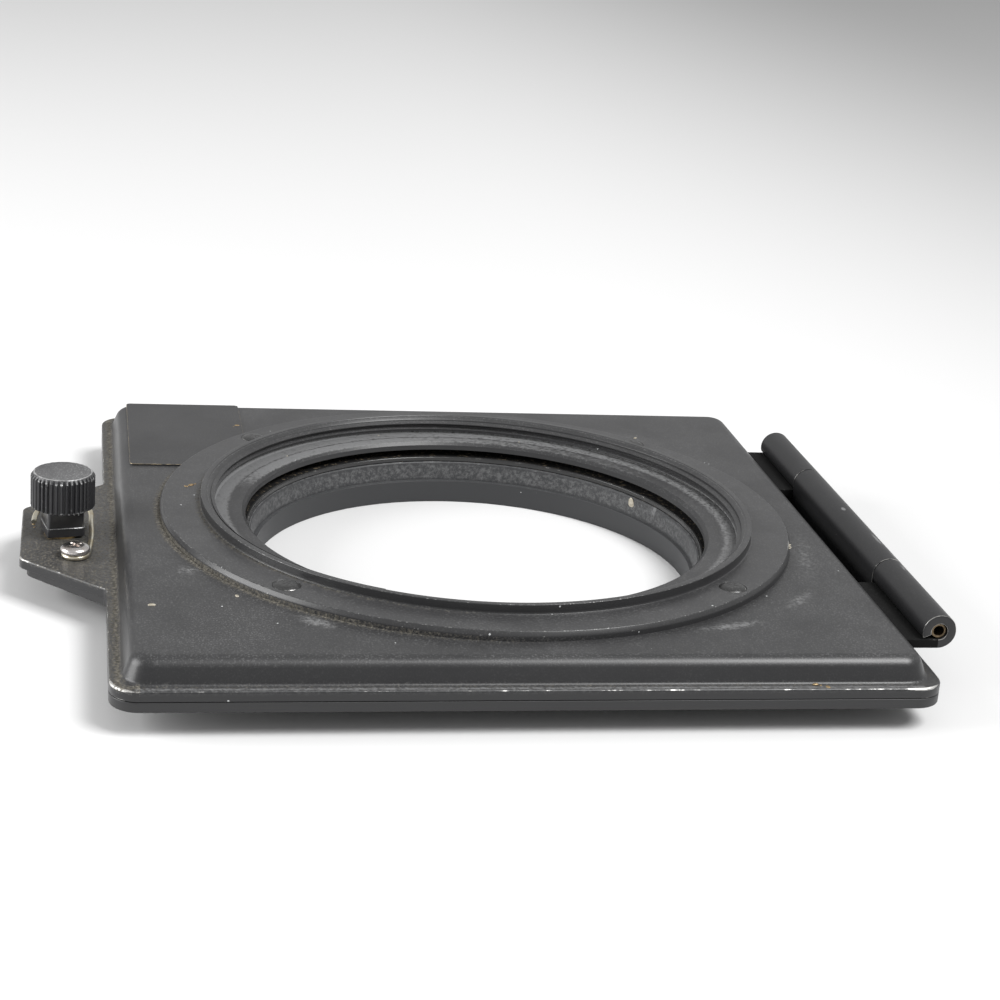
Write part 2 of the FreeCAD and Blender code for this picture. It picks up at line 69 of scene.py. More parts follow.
# %% [markdown]
# ## Small tools for drawing with bmesh
# Real edges are never sharp, and on old black paint the rounded edge is where the metal shows. So
# each tool that rounds an edge also writes a number on the new points: `rub` is 0 on a flat and 1
# on the crest of an edge. The paint reads it later. This follows the shape exactly, which a
# pattern laid over the surface could not do.

# %% Start and finish a piece


def start_piece():
    bm = bmesh.new()
    bm.verts.layers.float.new("rub")
    return bm


def finish_piece(bm, name, body, material, stands_for=(), turn_out=True, sharp=32):
    bmesh.ops.remove_doubles(bm, verts=bm.verts, dist=0.002)
    if turn_out:
        bmesh.ops.recalc_face_normals(bm, faces=bm.faces)
    for face in bm.faces:
        face.smooth = True
    bmesh.ops.scale(bm, vec=(MM, MM, MM), verts=bm.verts)
    mesh = bpy.data.meshes.new(name)
    bm.to_mesh(mesh)
    bm.free()
    mesh.set_sharp_from_angle(angle=math.radians(sharp))
    mesh.materials.append(material)
    piece = bpy.data.objects.new(name, mesh)
    bpy.context.scene.collection.objects.link(piece)
    weigh = piece.modifiers.new("even shading", "WEIGHTED_NORMAL")
    weigh.keep_sharp = True
    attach(piece, body)
    if stands_for:
        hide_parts(*stands_for)
    print(name, "has", len(mesh.polygons), "faces")
    return piece


# %% Round the corners of an outline and the rim of a flat face


def of_kind(items, kind):
    return [item for item in items if isinstance(item, kind)]


def soften(bm, corners, offset, segments, rub=0.0):
    # swaps each corner point for a small arc, most rubbed at its middle
    layer = bm.verts.layers.float["rub"]
    places = [v.co.copy() for v in corners]
    made = bmesh.ops.bevel(bm, geom=corners, offset=offset, offset_type="OFFSET", segments=segments,
                           profile=0.5, affect="VERTICES", material=-1)["verts"]
    for v in made:
        away = min((v.co - p).length for p in places)
        v[layer] = rub * max(0.0, min(1.0, (offset - away) / (offset * 0.55)))
    return made


def outline(bm, points, z, rounding):
    # a flat face from its corners, with (corner numbers, offset, segments) for each rounding
    verts = [bm.verts.new((x, y, z)) for x, y in points]
    face = bm.faces.new(verts)
    for picks, offset, segments in rounding:
        made = soften(bm, [verts[i] for i in picks], offset, segments)
        face = made[0].link_faces[0]
    return face


def step_in(bm, face, inward, upward):
    bmesh.ops.inset_region(bm, faces=[face], use_boundary=True, use_even_offset=True,
                           thickness=inward, depth=upward)


def round_over(bm, face, radius, steps, rub, start=0.0):
    # insets a flat face in small steps along part of a circle, so that its rim rolls over;
    # start is how far the wall below already leans in
    layer = bm.verts.layers.float["rub"]
    bm.normal_update()
    sweep = math.pi / 2 - start
    for i in range(steps):
        a = start + sweep * i / steps
        b = start + sweep * (i + 1) / steps
        step_in(bm, face, radius * (math.cos(a) - math.cos(b)), radius * (math.sin(b) - math.sin(a)))
        for v in face.verts:
            v[layer] = rub * math.sin(math.pi * (i + 1) / steps)
    return face


def round_foot(bm, face, radius, steps, lean):
    # the opposite: the flat below flows up into a wall that leans in by the angle lean
    for i in range(steps):
        a = (math.pi / 2 - lean) * i / steps
        b = (math.pi / 2 - lean) * (i + 1) / steps
        step_in(bm, face, radius * (math.sin(b) - math.sin(a)), radius * (math.cos(a) - math.cos(b)))
    return face


# %% Raise a slab, cut holes in a flat, and draw the walls of a hole


def thicken(bm, face, height):
    made = bmesh.ops.extrude_face_region(bm, geom=[face])["geom"]
    top = of_kind(made, bmesh.types.BMFace)[0]
    bmesh.ops.translate(bm, verts=list(top.verts), vec=(0, 0, height))
    bottom = [f for f in bm.faces if len(f.verts) == len(top.verts) and f != top and f.is_valid
              and abs(f.calc_center_median().z - top.calc_center_median().z + height) < 1e-4]
    return top, bottom[0]


def slab(bm, points, rounding, z0, z1, edge, rub, under=None):
    # a plate with its edges rounded above and below; returns its two flats
    under = under or edge
    face = outline(bm, points, z0 + under, rounding)
    top, bottom = thicken(bm, face, z1 - z0 - edge - under)
    return round_over(bm, top, edge, 4, rub), round_over(bm, bottom, under, 4, rub * 0.5)


def circle(bm, radius, z, x=0.0, y=0.0, segments=192):
    made = bmesh.ops.create_circle(bm, cap_ends=False, segments=segments, radius=radius,
                                   matrix=Matrix.Translation((x, y, z)))["verts"]
    return list({edge for v in made for edge in v.link_edges})


def extend(bm, edges, lift, grow=1.0, x=0.0, y=0.0):
    # draws a wall from a loop of edges: up or down by lift, and wider or narrower by grow
    made = bmesh.ops.extrude_edge_only(bm, edges=edges)["geom"]
    verts = of_kind(made, bmesh.types.BMVert)
    bmesh.ops.translate(bm, verts=verts, vec=(0, 0, lift))
    bmesh.ops.scale(bm, verts=verts, vec=(grow, grow, 1), space=Matrix.Translation((-x, -y, 0)))
    return of_kind(made, bmesh.types.BMEdge)


def open_flat(bm, face, loops):
    # swaps a flat face for one with holes: its rim and the loops are filled together
    rim = list(face.edges)
    normal = face.normal.copy()
    bmesh.ops.delete(bm, geom=[face], context="FACES_ONLY")
    fill_between(bm, rim + loops, normal)


def fill_between(bm, edges, normal):
    bmesh.ops.triangle_fill(bm, use_beauty=True, use_dissolve=False, edges=edges, normal=normal)


# %% [markdown]
# ## Turned pieces
# A ring or a screw is cut on a lathe, and Blender has the same idea: draw half of the section and
# spin it. Each corner of the section carries the size of its rounding and how rubbed it is.

# %% Lathe


def lathe(bm, section, steps=256, closed=True, centre=(0, 0, 0), axis=(0, 0, 1)):
    # section is a list of (radius, height, rounding, rub)
    before = set(bm.verts)
    verts = [bm.verts.new((r, 0, z)) for r, z, soft, rub in section]
    pairs = list(zip(verts, verts[1:]))
    if closed:
        pairs.append((verts[-1], verts[0]))
    for pair in pairs:
        bm.edges.new(pair)
    for v, (r, z, soft, rub) in zip(verts, section):
        if soft > 0:
            soften(bm, [v], soft, 4, rub)
    drawn = [v for v in bm.verts if v not in before]
    edges = list({edge for v in drawn for edge in v.link_edges})
    bmesh.ops.spin(bm, geom=drawn + edges, cent=(0, 0, 0), axis=(0, 0, 1), dvec=(0, 0, 0),
                   angle=2 * math.pi, steps=steps, use_merge=True, use_normal_flip=False)
    made = [v for v in bm.verts if v not in before]
    turn = Vector((0, 0, 1)).rotation_difference(Vector(axis)).to_matrix().to_4x4()
    bmesh.ops.transform(bm, matrix=Matrix.Translation(centre) @ turn, verts=made)
    return made


def thread(bm, root_r, crest_r, z0, turns, pitch=0.75, steps=144):
    # one ridge that climbs a pitch for each turn, drawn by spinning a small triangle
    overlap = 0.02 if crest_r > root_r else -0.02
    points = [(root_r - overlap, z0), (crest_r, z0 + pitch * 0.38), (crest_r, z0 + pitch * 0.5),
              (root_r - overlap, z0 + pitch * 0.88)]
    face = bm.faces.new([bm.verts.new((r, 0, z)) for r, z in points])
    count = int(turns * steps)
    angle = 2 * math.pi / steps
    end = bmesh.ops.spin(bm, geom=list(face.verts) + list(face.edges) + [face], cent=(0, 0, 0),
                         axis=(0, 0, 1), dvec=(0, 0, pitch / steps), angle=angle * count, steps=count,
                         use_merge=False, use_normal_flip=False)["geom_last"]
    for i in range(18):
        # the last few steps sink into the root, as a real thread runs out
        end = bmesh.ops.spin(bm, geom=end, cent=(0, 0, 0), axis=(0, 0, 1), dvec=(0, 0, pitch / steps),
                             angle=angle, steps=1, use_merge=False, use_normal_flip=False)["geom_last"]
        for v in of_kind(end, bmesh.types.BMVert):
            r = math.hypot(v.co.x, v.co.y)
            shrink = (root_r + (r - root_r) * 0.8) / r
            v.co.x *= shrink
            v.co.y *= shrink


# %% [markdown]
# ## Small tools for materials
# A shader is a network. `calc` adds one step of arithmetic, `noise` one pattern and `blend` one mix
# of two colours, written as red, green and blue. `fit`, `ramp` and `band` turn a length into a mask.
# Patterns read Object coordinates, which are metres on the piece, so a pattern keeps its real size:
# a noise scale of 2000 has lumps of about half a millimetre.

# %% Node helpers


def new_node(kind, *values):
    # a node in the network that the first linked value belongs to
    tree = next(value.id_data for value in values if isinstance(value, bpy.types.NodeSocket))
    return tree.nodes.new(kind)


def feed(socket, value):
    # a plain value is set on the socket, and the output of another node is linked to it
    if isinstance(value, bpy.types.NodeSocket):
        socket.id_data.links.new(value, socket)
    else:
        socket.default_value = value


def calc(operation, *values, clamp=False):
    node = new_node("ShaderNodeMath", *values)
    node.operation = operation
    node.use_clamp = clamp
    for socket, value in zip(node.inputs, values):
        feed(socket, value)
    return node.outputs[0]


def times(*values):
    product = values[0]
    for value in values[1:]:
        product = calc("MULTIPLY", product, value)
    return product


def most(*values):
    largest = values[0]
    for value in values[1:]:
        largest = calc("MAXIMUM", largest, value)
    return largest


def fit(value, gain, lift=0.0):
    # the value times gain plus lift, kept between 0 and 1
    return calc("MULTIPLY_ADD", value, gain, lift, clamp=True)


def ramp(value, zero, one):
    # rises from 0 where the value equals zero to 1 where it equals one
    return fit(value, 1 / (one - zero), -zero / (one - zero))


def band(value, middle, reach):
    # 1 at the middle, falling to 0 at the reach on both sides
    gap = calc("ABSOLUTE", calc("SUBTRACT", value, middle))
    return fit(gap, -1 / reach, 1.0)


def noise(position, scale, detail=3.0, roughness=0.55):
    node = new_node("ShaderNodeTexNoise", position)
    feed(node.inputs["Vector"], position)
    feed(node.inputs["Scale"], scale)
    node.inputs["Detail"].default_value = detail
    node.inputs["Roughness"].default_value = roughness
    return node.outputs[0]


def blend(factor, a, b):
    node = new_node("ShaderNodeMix", factor)
    node.data_type = "RGBA"
    feed(node.inputs[0], factor)
    for socket, value in ((node.inputs[6], a), (node.inputs[7], b)):
        feed(socket, (*value, 1.0) if isinstance(value, tuple) else value)
    return node.outputs[2]


def mix_value(factor, a, b):
    node = new_node("ShaderNodeMix", factor)
    node.data_type = "FLOAT"
    for socket, value in ((node.inputs[0], factor), (node.inputs[2], a), (node.inputs[3], b)):
        feed(socket, value)
    return node.outputs[0]


def split_xyz(vector):
    node = new_node("ShaderNodeSeparateXYZ", vector)
    feed(node.inputs[0], vector)
    return node.outputs


def new_group(name, vectors, numbers, outputs):
    # vectors are names of vector inputs, numbers are inputs with a starting value, and outputs have a kind
    tree = bpy.data.node_groups.new(name, "ShaderNodeTree")
    for label in vectors:
        tree.interface.new_socket(name=label, in_out="INPUT", socket_type="NodeSocketVector")
    for label, value in numbers.items():
        socket = tree.interface.new_socket(name=label, in_out="INPUT", socket_type="NodeSocketFloat")
        socket.default_value = value
    for label, kind in outputs.items():
        tree.interface.new_socket(name=label, in_out="OUTPUT", socket_type="NodeSocket" + kind)
    return tree, tree.nodes.new("NodeGroupInput").outputs, tree.nodes.new("NodeGroupOutput").inputs


# %% [markdown]
# ## Rubbed edges
# Paint goes first where hands and cases touch it: on edges and corners, in broken patches. The
# group takes the `rub` number of the point and sets it against noise, so that a high number shows
# metal almost everywhere and a low one only in flecks.

# %% Group: rubbed edge
rubbed, into, out = new_group("rubbed edge", ["Position"], {"Rub": 0.0, "Reach": 0.5, "Patch": 700.0},
                              {"Mask": "Float"})
PATCH_CONTRAST = 2.2
EDGE_CONTRAST = 3.0
lumps = noise(into["Position"], into["Patch"], 6.0, 0.65)
lumps = calc("MULTIPLY", calc("SUBTRACT", lumps, 0.5), PATCH_CONTRAST)
level = calc("SUBTRACT", calc("ADD", into["Rub"], into["Reach"]), 1.0)
level = fit(calc("ADD", level, lumps), EDGE_CONTRAST)
on_edge = fit(into["Rub"], EDGE_CONTRAST)
feed(out["Mask"], times(level, on_edge))

# %% [markdown]
# ## Dust
# Old camera gear wears a veil of pale dust on what faces up, finer than the eye resolves, with a
# few larger grains of lint. In corners it packs into brown dirt, and in places it lies as a grey
# powder like flour. The group gives a mask and a colour. It takes how much covers the flats, and
# how much has packed or lies as powder at this point.

# %% Group: dust
GREY_DUST = (0.40, 0.40, 0.40)
DARK_DIRT = (0.060, 0.054, 0.042)
PALE_DIRT = (0.19, 0.175, 0.145)
FLOUR = (0.15, 0.152, 0.155)
LINT = (0.46, 0.47, 0.47)
LINT_RADIUS = 0.045
dust, into, out = new_group("dust", ["Position", "Normal"], {"Cover": 0.3, "Packed": 0.0, "Powder": 0.0},
                            {"Mask": "Float", "Colour": "Color"})
where = into["Position"]
up = fit(split_xyz(into["Normal"])[2], 1.4, -0.4)
veil = fit(noise(where, 120.0, 5.0, 0.6), 2.6, -0.9)
grain = fit(noise(where, 5200.0, 2.0, 0.6), 6.0, -3.2)
thin = times(fit(veil, 0.6, 0.4), fit(grain, 0.8, 0.2), up, into["Cover"])

clots = calc("MULTIPLY_ADD", noise(where, 4200.0, 6.0, 0.75), 7.0, -3.9)
heavy = calc("ADD", clots, calc("MULTIPLY", into["Packed"], 2.2), clamp=True)
heavy = times(heavy, fit(into["Packed"], 4.0))
flour = calc("MULTIPLY_ADD", noise(where, 2200.0, 8.0, 0.8), 4.0, -2.0)
flour = calc("ADD", flour, into["Powder"], clamp=True)
flour = times(flour, fit(into["Powder"], 2.0))

cells = dust.nodes.new("ShaderNodeTexVoronoi")
cells.inputs["Scale"].default_value = 420.0
feed(cells.inputs["Vector"], where)
sparse = calc("GREATER_THAN", noise(where, 150.0, 1.0), 0.56)
lint = times(calc("LESS_THAN", cells.outputs["Distance"], LINT_RADIUS), sparse)

tint = fit(noise(where, 2600.0, 3.0), 4.0, -1.6)
colour = blend(fit(heavy, 3.0), GREY_DUST, blend(tint, DARK_DIRT, PALE_DIRT))
colour = blend(flour, colour, FLOUR)
feed(out["Mask"], most(thin, heavy, flour, lint))
feed(out["Colour"], blend(lint, colour, LINT))

# %% [markdown]
# ## The skin of sprayed paint
# Sprayed enamel has a faint pebble that breaks its reflections up. The group gives a height for a
# Bump node and a small swing in roughness, where fingers have polished some patches.

# %% Group: paint skin
skin, into, out = new_group("paint skin", ["Position"], {}, {"Height": "Float", "Polish": "Float"})
feed(out["Height"], noise(into["Position"], 4200.0, 3.0, 0.5))
patches = noise(into["Position"], 90.0, 4.0, 0.6)
feed(out["Polish"], calc("MULTIPLY_ADD", patches, 1.6, -0.8))

# %% [markdown]
# ## Where dirt packs on the frame
# On the pan, dirt lies where the wall meets the ledge and round the foot of the ring. Inside the
# ring, grey powder lies on the step below the thread. All of it is simple distances in millimetres:
# from a square for the wall, from a circle for the rings, and a height. The latch side has gathered
# most, because the knob keeps a cloth away from it, so most bands fade towards the hinge.

# %% Group: frame corners
corners, into, out = new_group("frame corners", ["Position"], {}, {"Packed": "Float", "Powder": "Float"})
scaled = corners.nodes.new("ShaderNodeVectorMath")
scaled.operation = "SCALE"
scaled.inputs["Scale"].default_value = 1 / MM
feed(scaled.inputs[0], into["Position"])
across, along, height = split_xyz(scaled.outputs[0])
from_middle = calc("ABSOLUTE", across)
square = most(from_middle, calc("ABSOLUTE", along))
squares = calc("ADD", times(across, across), times(along, along))
radius = calc("SQRT", squares)
low = band(height, FLANGE_TOP, 0.6)
at_foot = times(calc("GREATER_THAN", height, PANEL_TOP - 0.25),
                calc("LESS_THAN", height, PANEL_TOP + 0.45))
latch_side = calc("LESS_THAN", across, -40.0)
leftward = ramp(across, 12.22, -43.33)

# %% Brown dirt
ledge = times(calc("GREATER_THAN", square, 41.5), low, fit(latch_side, 0.22, 0.06))
wall_foot = times(band(square, 42.1, 1.0), low, fit(latch_side, 0.4, 0.2))
ring_foot = times(band(radius, 37.0, 0.9), at_foot, leftward, 0.75)
ring_veil = times(band(radius, 38.0, 5.0), at_foot, leftward, 0.10)
rim_foot = times(band(radius, 32.4, 0.8), band(height, RING_TOP, 0.3), leftward, 0.5)
feed(out["Packed"], most(ledge, wall_foot, ring_foot, ring_veil, rim_foot))

# %% Grey powder, and a painted highlight on the front ledge
on_step = fit(times(band(radius, 30.1, 1.4), at_foot), 2.2)
on_step = times(on_step, ramp(across, 106.25, -18.75), 0.70)
on_bevel = fit(times(band(radius, 28.1, 0.9), at_foot), 4.0)
on_bevel = times(on_bevel, ramp(across, 39.29, -32.14), ramp(along, 7.27, 16.36), 0.95)
# along the front ledge a pale line: partly dust, partly a painted highlight on the ledge's edge
front_edge = times(calc("LESS_THAN", along, -40.0),
                   calc("LESS_THAN", from_middle, 40.5))
front_dust_and_highlight = times(band(square, 42.5, 0.6), low, front_edge, 0.50)
in_bore = times(band(radius, 26.2, 0.3), band(height, 4.0, 1.3))
in_bore = times(fit(in_bore, 3.0), 0.20)
feed(out["Powder"], most(on_step, on_bevel, front_dust_and_highlight, in_bore))

# %% [markdown]
# ## Single marks
# A smear of dust, a chip or a well rubbed corner lies at one place. The group turns the distance
# from that place into a mask, longer along one direction than across it. Two uses share it: more
# powder makes a smear, and more reach for the rubbing lays a corner bare.

# %% Group: single mark
mark, into, out = new_group("single mark", ["Position", "Centre", "Along"],
                            {"Length": 0.003, "Width": 0.001, "Strength": 1.0}, {"Mask": "Float"})


def vector_step(operation, a, b):
    node = new_node("ShaderNodeVectorMath", a)
    node.operation = operation
    feed(node.inputs[0], a)
    feed(node.inputs[1], b)
    return node.outputs["Value"] if operation == "DOT_PRODUCT" else node.outputs[0]


offset = vector_step("SUBTRACT", into["Position"], into["Centre"])
lengthwise = vector_step("DOT_PRODUCT", offset, into["Along"])
whole = vector_step("DOT_PRODUCT", offset, offset)
crosswise = calc("SUBTRACT", whole, times(lengthwise, lengthwise))
long_share = calc("DIVIDE", lengthwise, into["Length"])
wide_share = calc("DIVIDE", crosswise, times(into["Width"], into["Width"]))
distance = calc("SQRT", calc("ADD", times(long_share, long_share), wide_share))
inside = fit(distance, -1.0, 1.0)
broken = fit(noise(into["Position"], 1500.0, 5.0, 0.65), 1.6, -0.1)
feed(out["Mask"], times(inside, broken, into["Strength"]))

# %% [markdown]
# ## Painted metal
# One recipe makes every black piece: paint, with bare metal at the rubbed edges and dust on top.
# Each piece gets its own numbers. Black paint looks grey in this light because it is seen at a low
# angle, where even paint reflects the pale room, so the colour itself stays nearly black.

# %% Material recipe
WORN_ROUGHNESS = 0.34
DUST_ROUGHNESS = 0.9


def add_group(group, **values):
    node = new_node("ShaderNodeGroup", *values.values())
    node.node_tree = group
    for label, value in values.items():
        feed(node.inputs[label], value)
    return node.outputs


def bare_material(name):
    material = bpy.data.materials.new(name)
    material.use_nodes = True
    tree = material.node_tree
    return material, tree.nodes["Principled BSDF"], tree.nodes.new("ShaderNodeTexCoord").outputs


def add_relief(shader, height, strength, depth):
    # a bump whose full height is depth, in millimetres
    relief = new_node("ShaderNodeBump", height)
    relief.inputs["Strength"].default_value = strength
    relief.inputs["Distance"].default_value = depth * MM
    feed(relief.inputs["Height"], height)
    feed(shader.inputs["Normal"], relief.outputs[0])


def add_marks(place, marks):
    # the strongest of a few marks: each has a centre, a direction, a half length and a half width
    # in millimetres, and a strength
    strongest = 0.0
    for centre, along, length, width, strength in marks:
        spot = add_group(mark, Position=place["Object"], Centre=Vector(centre) * MM, Along=along,
                         Length=length * MM, Width=width * MM, Strength=strength)
        strongest = calc("MAXIMUM", strongest, spot["Mask"])
    return strongest


def painted(name, colour, roughness, metal=(0.55, 0.54, 0.52), reach=0.5, cover=0.3, corner_dirt=False,
            bump=0.12, patch=700.0, worn_spots=(), smears=()):
    material, shader, place = bare_material(name)
    rub = new_node("ShaderNodeAttribute", place["Object"])
    rub.attribute_name = "rub"
    if worn_spots:
        reach = calc("ADD", add_marks(place, worn_spots), reach)
    worn = add_group(rubbed, Position=place["Object"], Rub=rub.outputs["Fac"], Reach=reach, Patch=patch)
    packed = 0.0
    powder = 0.0
    if corner_dirt:
        dirt = add_group(corners, Position=place["Object"])
        packed = dirt["Packed"]
        powder = dirt["Powder"]
    if smears:
        powder = calc("MAXIMUM", add_marks(place, smears), powder)
    settled = add_group(dust, Position=place["Object"], Normal=place["Normal"], Cover=cover,
                        Packed=packed, Powder=powder)
    surface = add_group(skin, Position=place["Object"])
    coloured = blend(worn["Mask"], colour, metal)
    coloured = blend(settled["Mask"], coloured, settled["Colour"])
    feed(shader.inputs["Base Color"], coloured)
    clean = calc("SUBTRACT", 1.0, settled["Mask"], clamp=True)
    feed(shader.inputs["Metallic"], times(worn["Mask"], clean))
    gloss = calc("MULTIPLY_ADD", surface["Polish"], 0.10, roughness)
    gloss = mix_value(worn["Mask"], gloss, WORN_ROUGHNESS)
    gloss = mix_value(settled["Mask"], gloss, DUST_ROUGHNESS)
    feed(shader.inputs["Roughness"], gloss)
    add_relief(shader, surface["Height"], bump, 0.04)
    return material


def metal(name, colour, dark, roughness, scale=900.0, cover=0.1):
    # bare or plated metal: two tones that drift into each other, with a little dust
    material, shader, place = bare_material(name)
    tarnish = fit(noise(place["Object"], scale, 5.0, 0.6), 3.0, -1.0)
    settled = add_group(dust, Position=place["Object"], Normal=place["Normal"], Cover=cover)
    coloured = blend(tarnish, colour, dark)
    feed(shader.inputs["Base Color"], blend(settled["Mask"], coloured, settled["Colour"]))
    feed(shader.inputs["Metallic"], mix_value(settled["Mask"], 1.0, 0.0))
    gloss = calc("MULTIPLY_ADD", tarnish, 0.14, roughness)
    feed(shader.inputs["Roughness"], mix_value(settled["Mask"], gloss, 0.85))
    return material


# %% [markdown]
# ## The finishes
# The front frame has the most history: two corners are worn through, and smears of old dust lie on
# the panel where the photograph shows them. The rest differ in how deep the black is, how far the
# rubbing reaches and what metal shows. A near-black matt copy of the hinge paint is painted shade
# on the flat of the hinge strip and on the block under the back leaf.

# %% The black finishes
X_WAY = (1.0, 0.0, 0.0)
Y_WAY = (0.0, 1.0, 0.0)
FRAME_WEAR = [((-42.2, -41.8, 5.0), X_WAY, 2.2, 2.2, 2.5), ((40.6, -43.0, 5.0), X_WAY, 2.4, 1.6, 2.2),
              ((43.0, -40.0, 5.0), X_WAY, 1.2, 1.2, 0.7), ((-52.3, -8.0, 5.0), X_WAY, 1.5, 1.5, 0.7)]
FRAME_SMEARS = [((22.3, -32.7, 7.65), (0.96, 0.28, 0.0), 6.0, 1.3, 0.75),
                ((31.9, -25.5, 7.65), (0.62, 0.78, 0.0), 6.0, 1.4, 0.55),
                ((-21.8, -31.8, 7.65), (0.80, -0.60, 0.0), 3.4, 1.8, 0.85),
                ((-34.4, -17.7, 7.65), X_WAY, 2.6, 2.0, 0.6),
                ((36.5, -12.0, 7.65), (0.2, 0.98, 0.0), 14.0, 2.4, 0.45),
                ((24.0, 30.0, 7.65), (0.9, -0.4, 0.0), 12.0, 4.0, 0.35)]
HINGE_SMEARS = [((46.1, -9.6, 8.8), Y_WAY, 2.2, 0.35, 1.5), ((46.5, -14.6, 8.6), Y_WAY, 1.6, 0.3, 1.5),
                ((45.3, 0.5, 8.9), Y_WAY, 0.7, 0.3, 1.5), ((46.2, -18.6, 8.8), Y_WAY, 1.4, 0.3, 1.2)]
RING_WEAR = [((34.9, -11.45, 8.6), (0.3, 0.95, 0.0), 1.6, 1.0, 1.8)]
BORE_SMEAR = [((24.2, 10.1, 4.8), (0.0, 0.0, 1.0), 0.9, 0.7, 1.2)]

enamel = painted("black enamel", (0.016, 0.016, 0.017), 0.33, reach=0.07, cover=0.32, corner_dirt=True,
                 metal=(0.68, 0.67, 0.65), worn_spots=FRAME_WEAR, smears=FRAME_SMEARS)
rear_enamel = painted("black enamel of the rear plate", (0.020, 0.020, 0.021), 0.42, reach=0.14, cover=0.2)
leaf_enamel = painted("black enamel of the hinge", (0.013, 0.013, 0.014), 0.38, reach=0.55, cover=0.10,
                      smears=HINGE_SMEARS)
# a near-black copy of the hinge paint with little shine: painted shade for the flat of the hinge strip and
# the block under the back leaf
leaf_painted_shade = painted("painted shade on the hinge strip", (0.006, 0.006, 0.006), 0.85, reach=0.1, cover=0.05)
leaf_painted_shade.node_tree.nodes["Principled BSDF"].inputs["Specular IOR Level"].default_value = 0.15
anodised = painted("black anodised ring", (0.026, 0.026, 0.027), 0.31, reach=0.36, cover=0.30, bump=0.06,
                   corner_dirt=True, patch=2600.0, metal=(0.46, 0.46, 0.45), worn_spots=RING_WEAR)
inner_black = painted("black anodised lens ring", (0.031, 0.032, 0.034), 0.5, reach=0.40, cover=0.2,
                      bump=0.06, corner_dirt=True, metal=(0.40, 0.40, 0.40), smears=BORE_SMEAR)
screw_black = painted("blackened screw", (0.020, 0.020, 0.020), 0.27, reach=0.30, cover=0.2)
plate_black = painted("black plate", (0.017, 0.017, 0.018), 0.36, reach=0.36, cover=0.22, bump=0.05,
                      metal=(0.44, 0.36, 0.23))
knob_black = painted("black knob", (0.022, 0.022, 0.024), 0.34, reach=0.50, cover=0.85,
                     metal=(0.66, 0.66, 0.66), patch=1500.0)
gloss_black = painted("glossy black lip", (0.02, 0.02, 0.02), 0.2, reach=0.3, cover=0.1)

# %% The bare metals and the crumbs
pale_crumb = metal("pale crumb", (0.60, 0.57, 0.50), (0.42, 0.38, 0.30), 0.6, 3000.0, 0.0)
gold_crumb = metal("golden crumb", (0.46, 0.35, 0.20), (0.24, 0.17, 0.10), 0.5, 3000.0, 0.0)
tube = metal("tarnished tube", (0.24, 0.185, 0.12), (0.09, 0.065, 0.04), 0.42)
bright = metal("bright plated screw", (0.88, 0.87, 0.87), (0.52, 0.46, 0.42), 0.19, 700.0, 0.0)
wire_metal = metal("yellowed spring wire", (0.88, 0.87, 0.78), (0.62, 0.52, 0.34), 0.26, 500.0, 0.0)
steel = metal("plain steel", (0.50, 0.50, 0.50), (0.30, 0.29, 0.28), 0.30)
brass = metal("plain brass", (0.62, 0.46, 0.22), (0.36, 0.25, 0.12), 0.34)

# %% [markdown]
# ## Felt
# The light seal is a flat ring of black felt. Felt has no shine, and its fibres show as a fine
# fuzz that catches brown dust, so it gets noise at two sizes and a strong, fine bump.

# %% Felt
felt, shader, place = bare_material("black felt")
brown_specks = fit(noise(place["Object"], 1400.0, 4.0, 0.7), 8.0, -4.4)
felt_colour = blend(brown_specks, (0.006, 0.006, 0.006), (0.15, 0.12, 0.08))
feed(shader.inputs["Base Color"], felt_colour)
shader.inputs["Roughness"].default_value = 0.95
shader.inputs["Specular IOR Level"].default_value = 0.2
add_relief(shader, noise(place["Object"], 6500.0, 3.0, 0.7), 0.6, 0.1)

# %% [markdown]
# ## Front frame
# The front frame is one pressing: a flat flange with the latch ear, a wall that rises from it and a
# panel with a round window. It could be a box with bevels, but the shoulder is the first thing the
# light finds, so it is drawn as a press tool makes it. An outline is thickened into the flange,
# a second one rises into the pan, its rim is rolled over in small steps, and the flats between are
# filled round their holes.

# %% Front frame
ALL_FOUR = (0, 1, 2, 3)


def box_points(x0, x1, y0, y1):
    return [(x0, y0), (x1, y0), (x1, y1), (x0, y1)]


ear_end = -(HALF + 9.35)
EAR_CORNER = 0.52
EAR_ROOT = 0.44
frame_points = box_points(-HALF, HALF, -HALF, HALF)
ear_points = frame_points + [(-HALF, 16.8), (ear_end, 8.0), (ear_end, -8.0), (-HALF, -16.8)]
ear_rounding = [(ALL_FOUR, CORNER_R, 12), ((5, 6), EAR_CORNER, 6), ((4, 7), EAR_ROOT, 6)]
bm = start_piece()
flange_flat, flange_under = slab(bm, ear_points, ear_rounding, FLANGE_BOTTOM, FLANGE_TOP,
                                 edge=0.26, rub=0.9, under=0.11)

SHOULDER_R = 1.6
FOOT_R = 0.45
LEAN = math.radians(22)
foot_half = WALL_OUT + 0.72
pan_square = box_points(-foot_half, foot_half, -foot_half, foot_half)
pan_face = outline(bm, pan_square, FLANGE_TOP, [(ALL_FOUR, 3.4, 12)])
bm.normal_update()
straight = PANEL_TOP - FLANGE_TOP - (SHOULDER_R + FOOT_R) * (1 - math.sin(LEAN))
pan_flat = round_foot(bm, pan_face, FOOT_R, 6, LEAN)
step_in(bm, pan_flat, straight * math.tan(LEAN), straight)
pan_flat = round_over(bm, pan_flat, SHOULDER_R, 9, 0.15, LEAN)
foot_loop = [e for e in bm.edges if e.is_boundary]

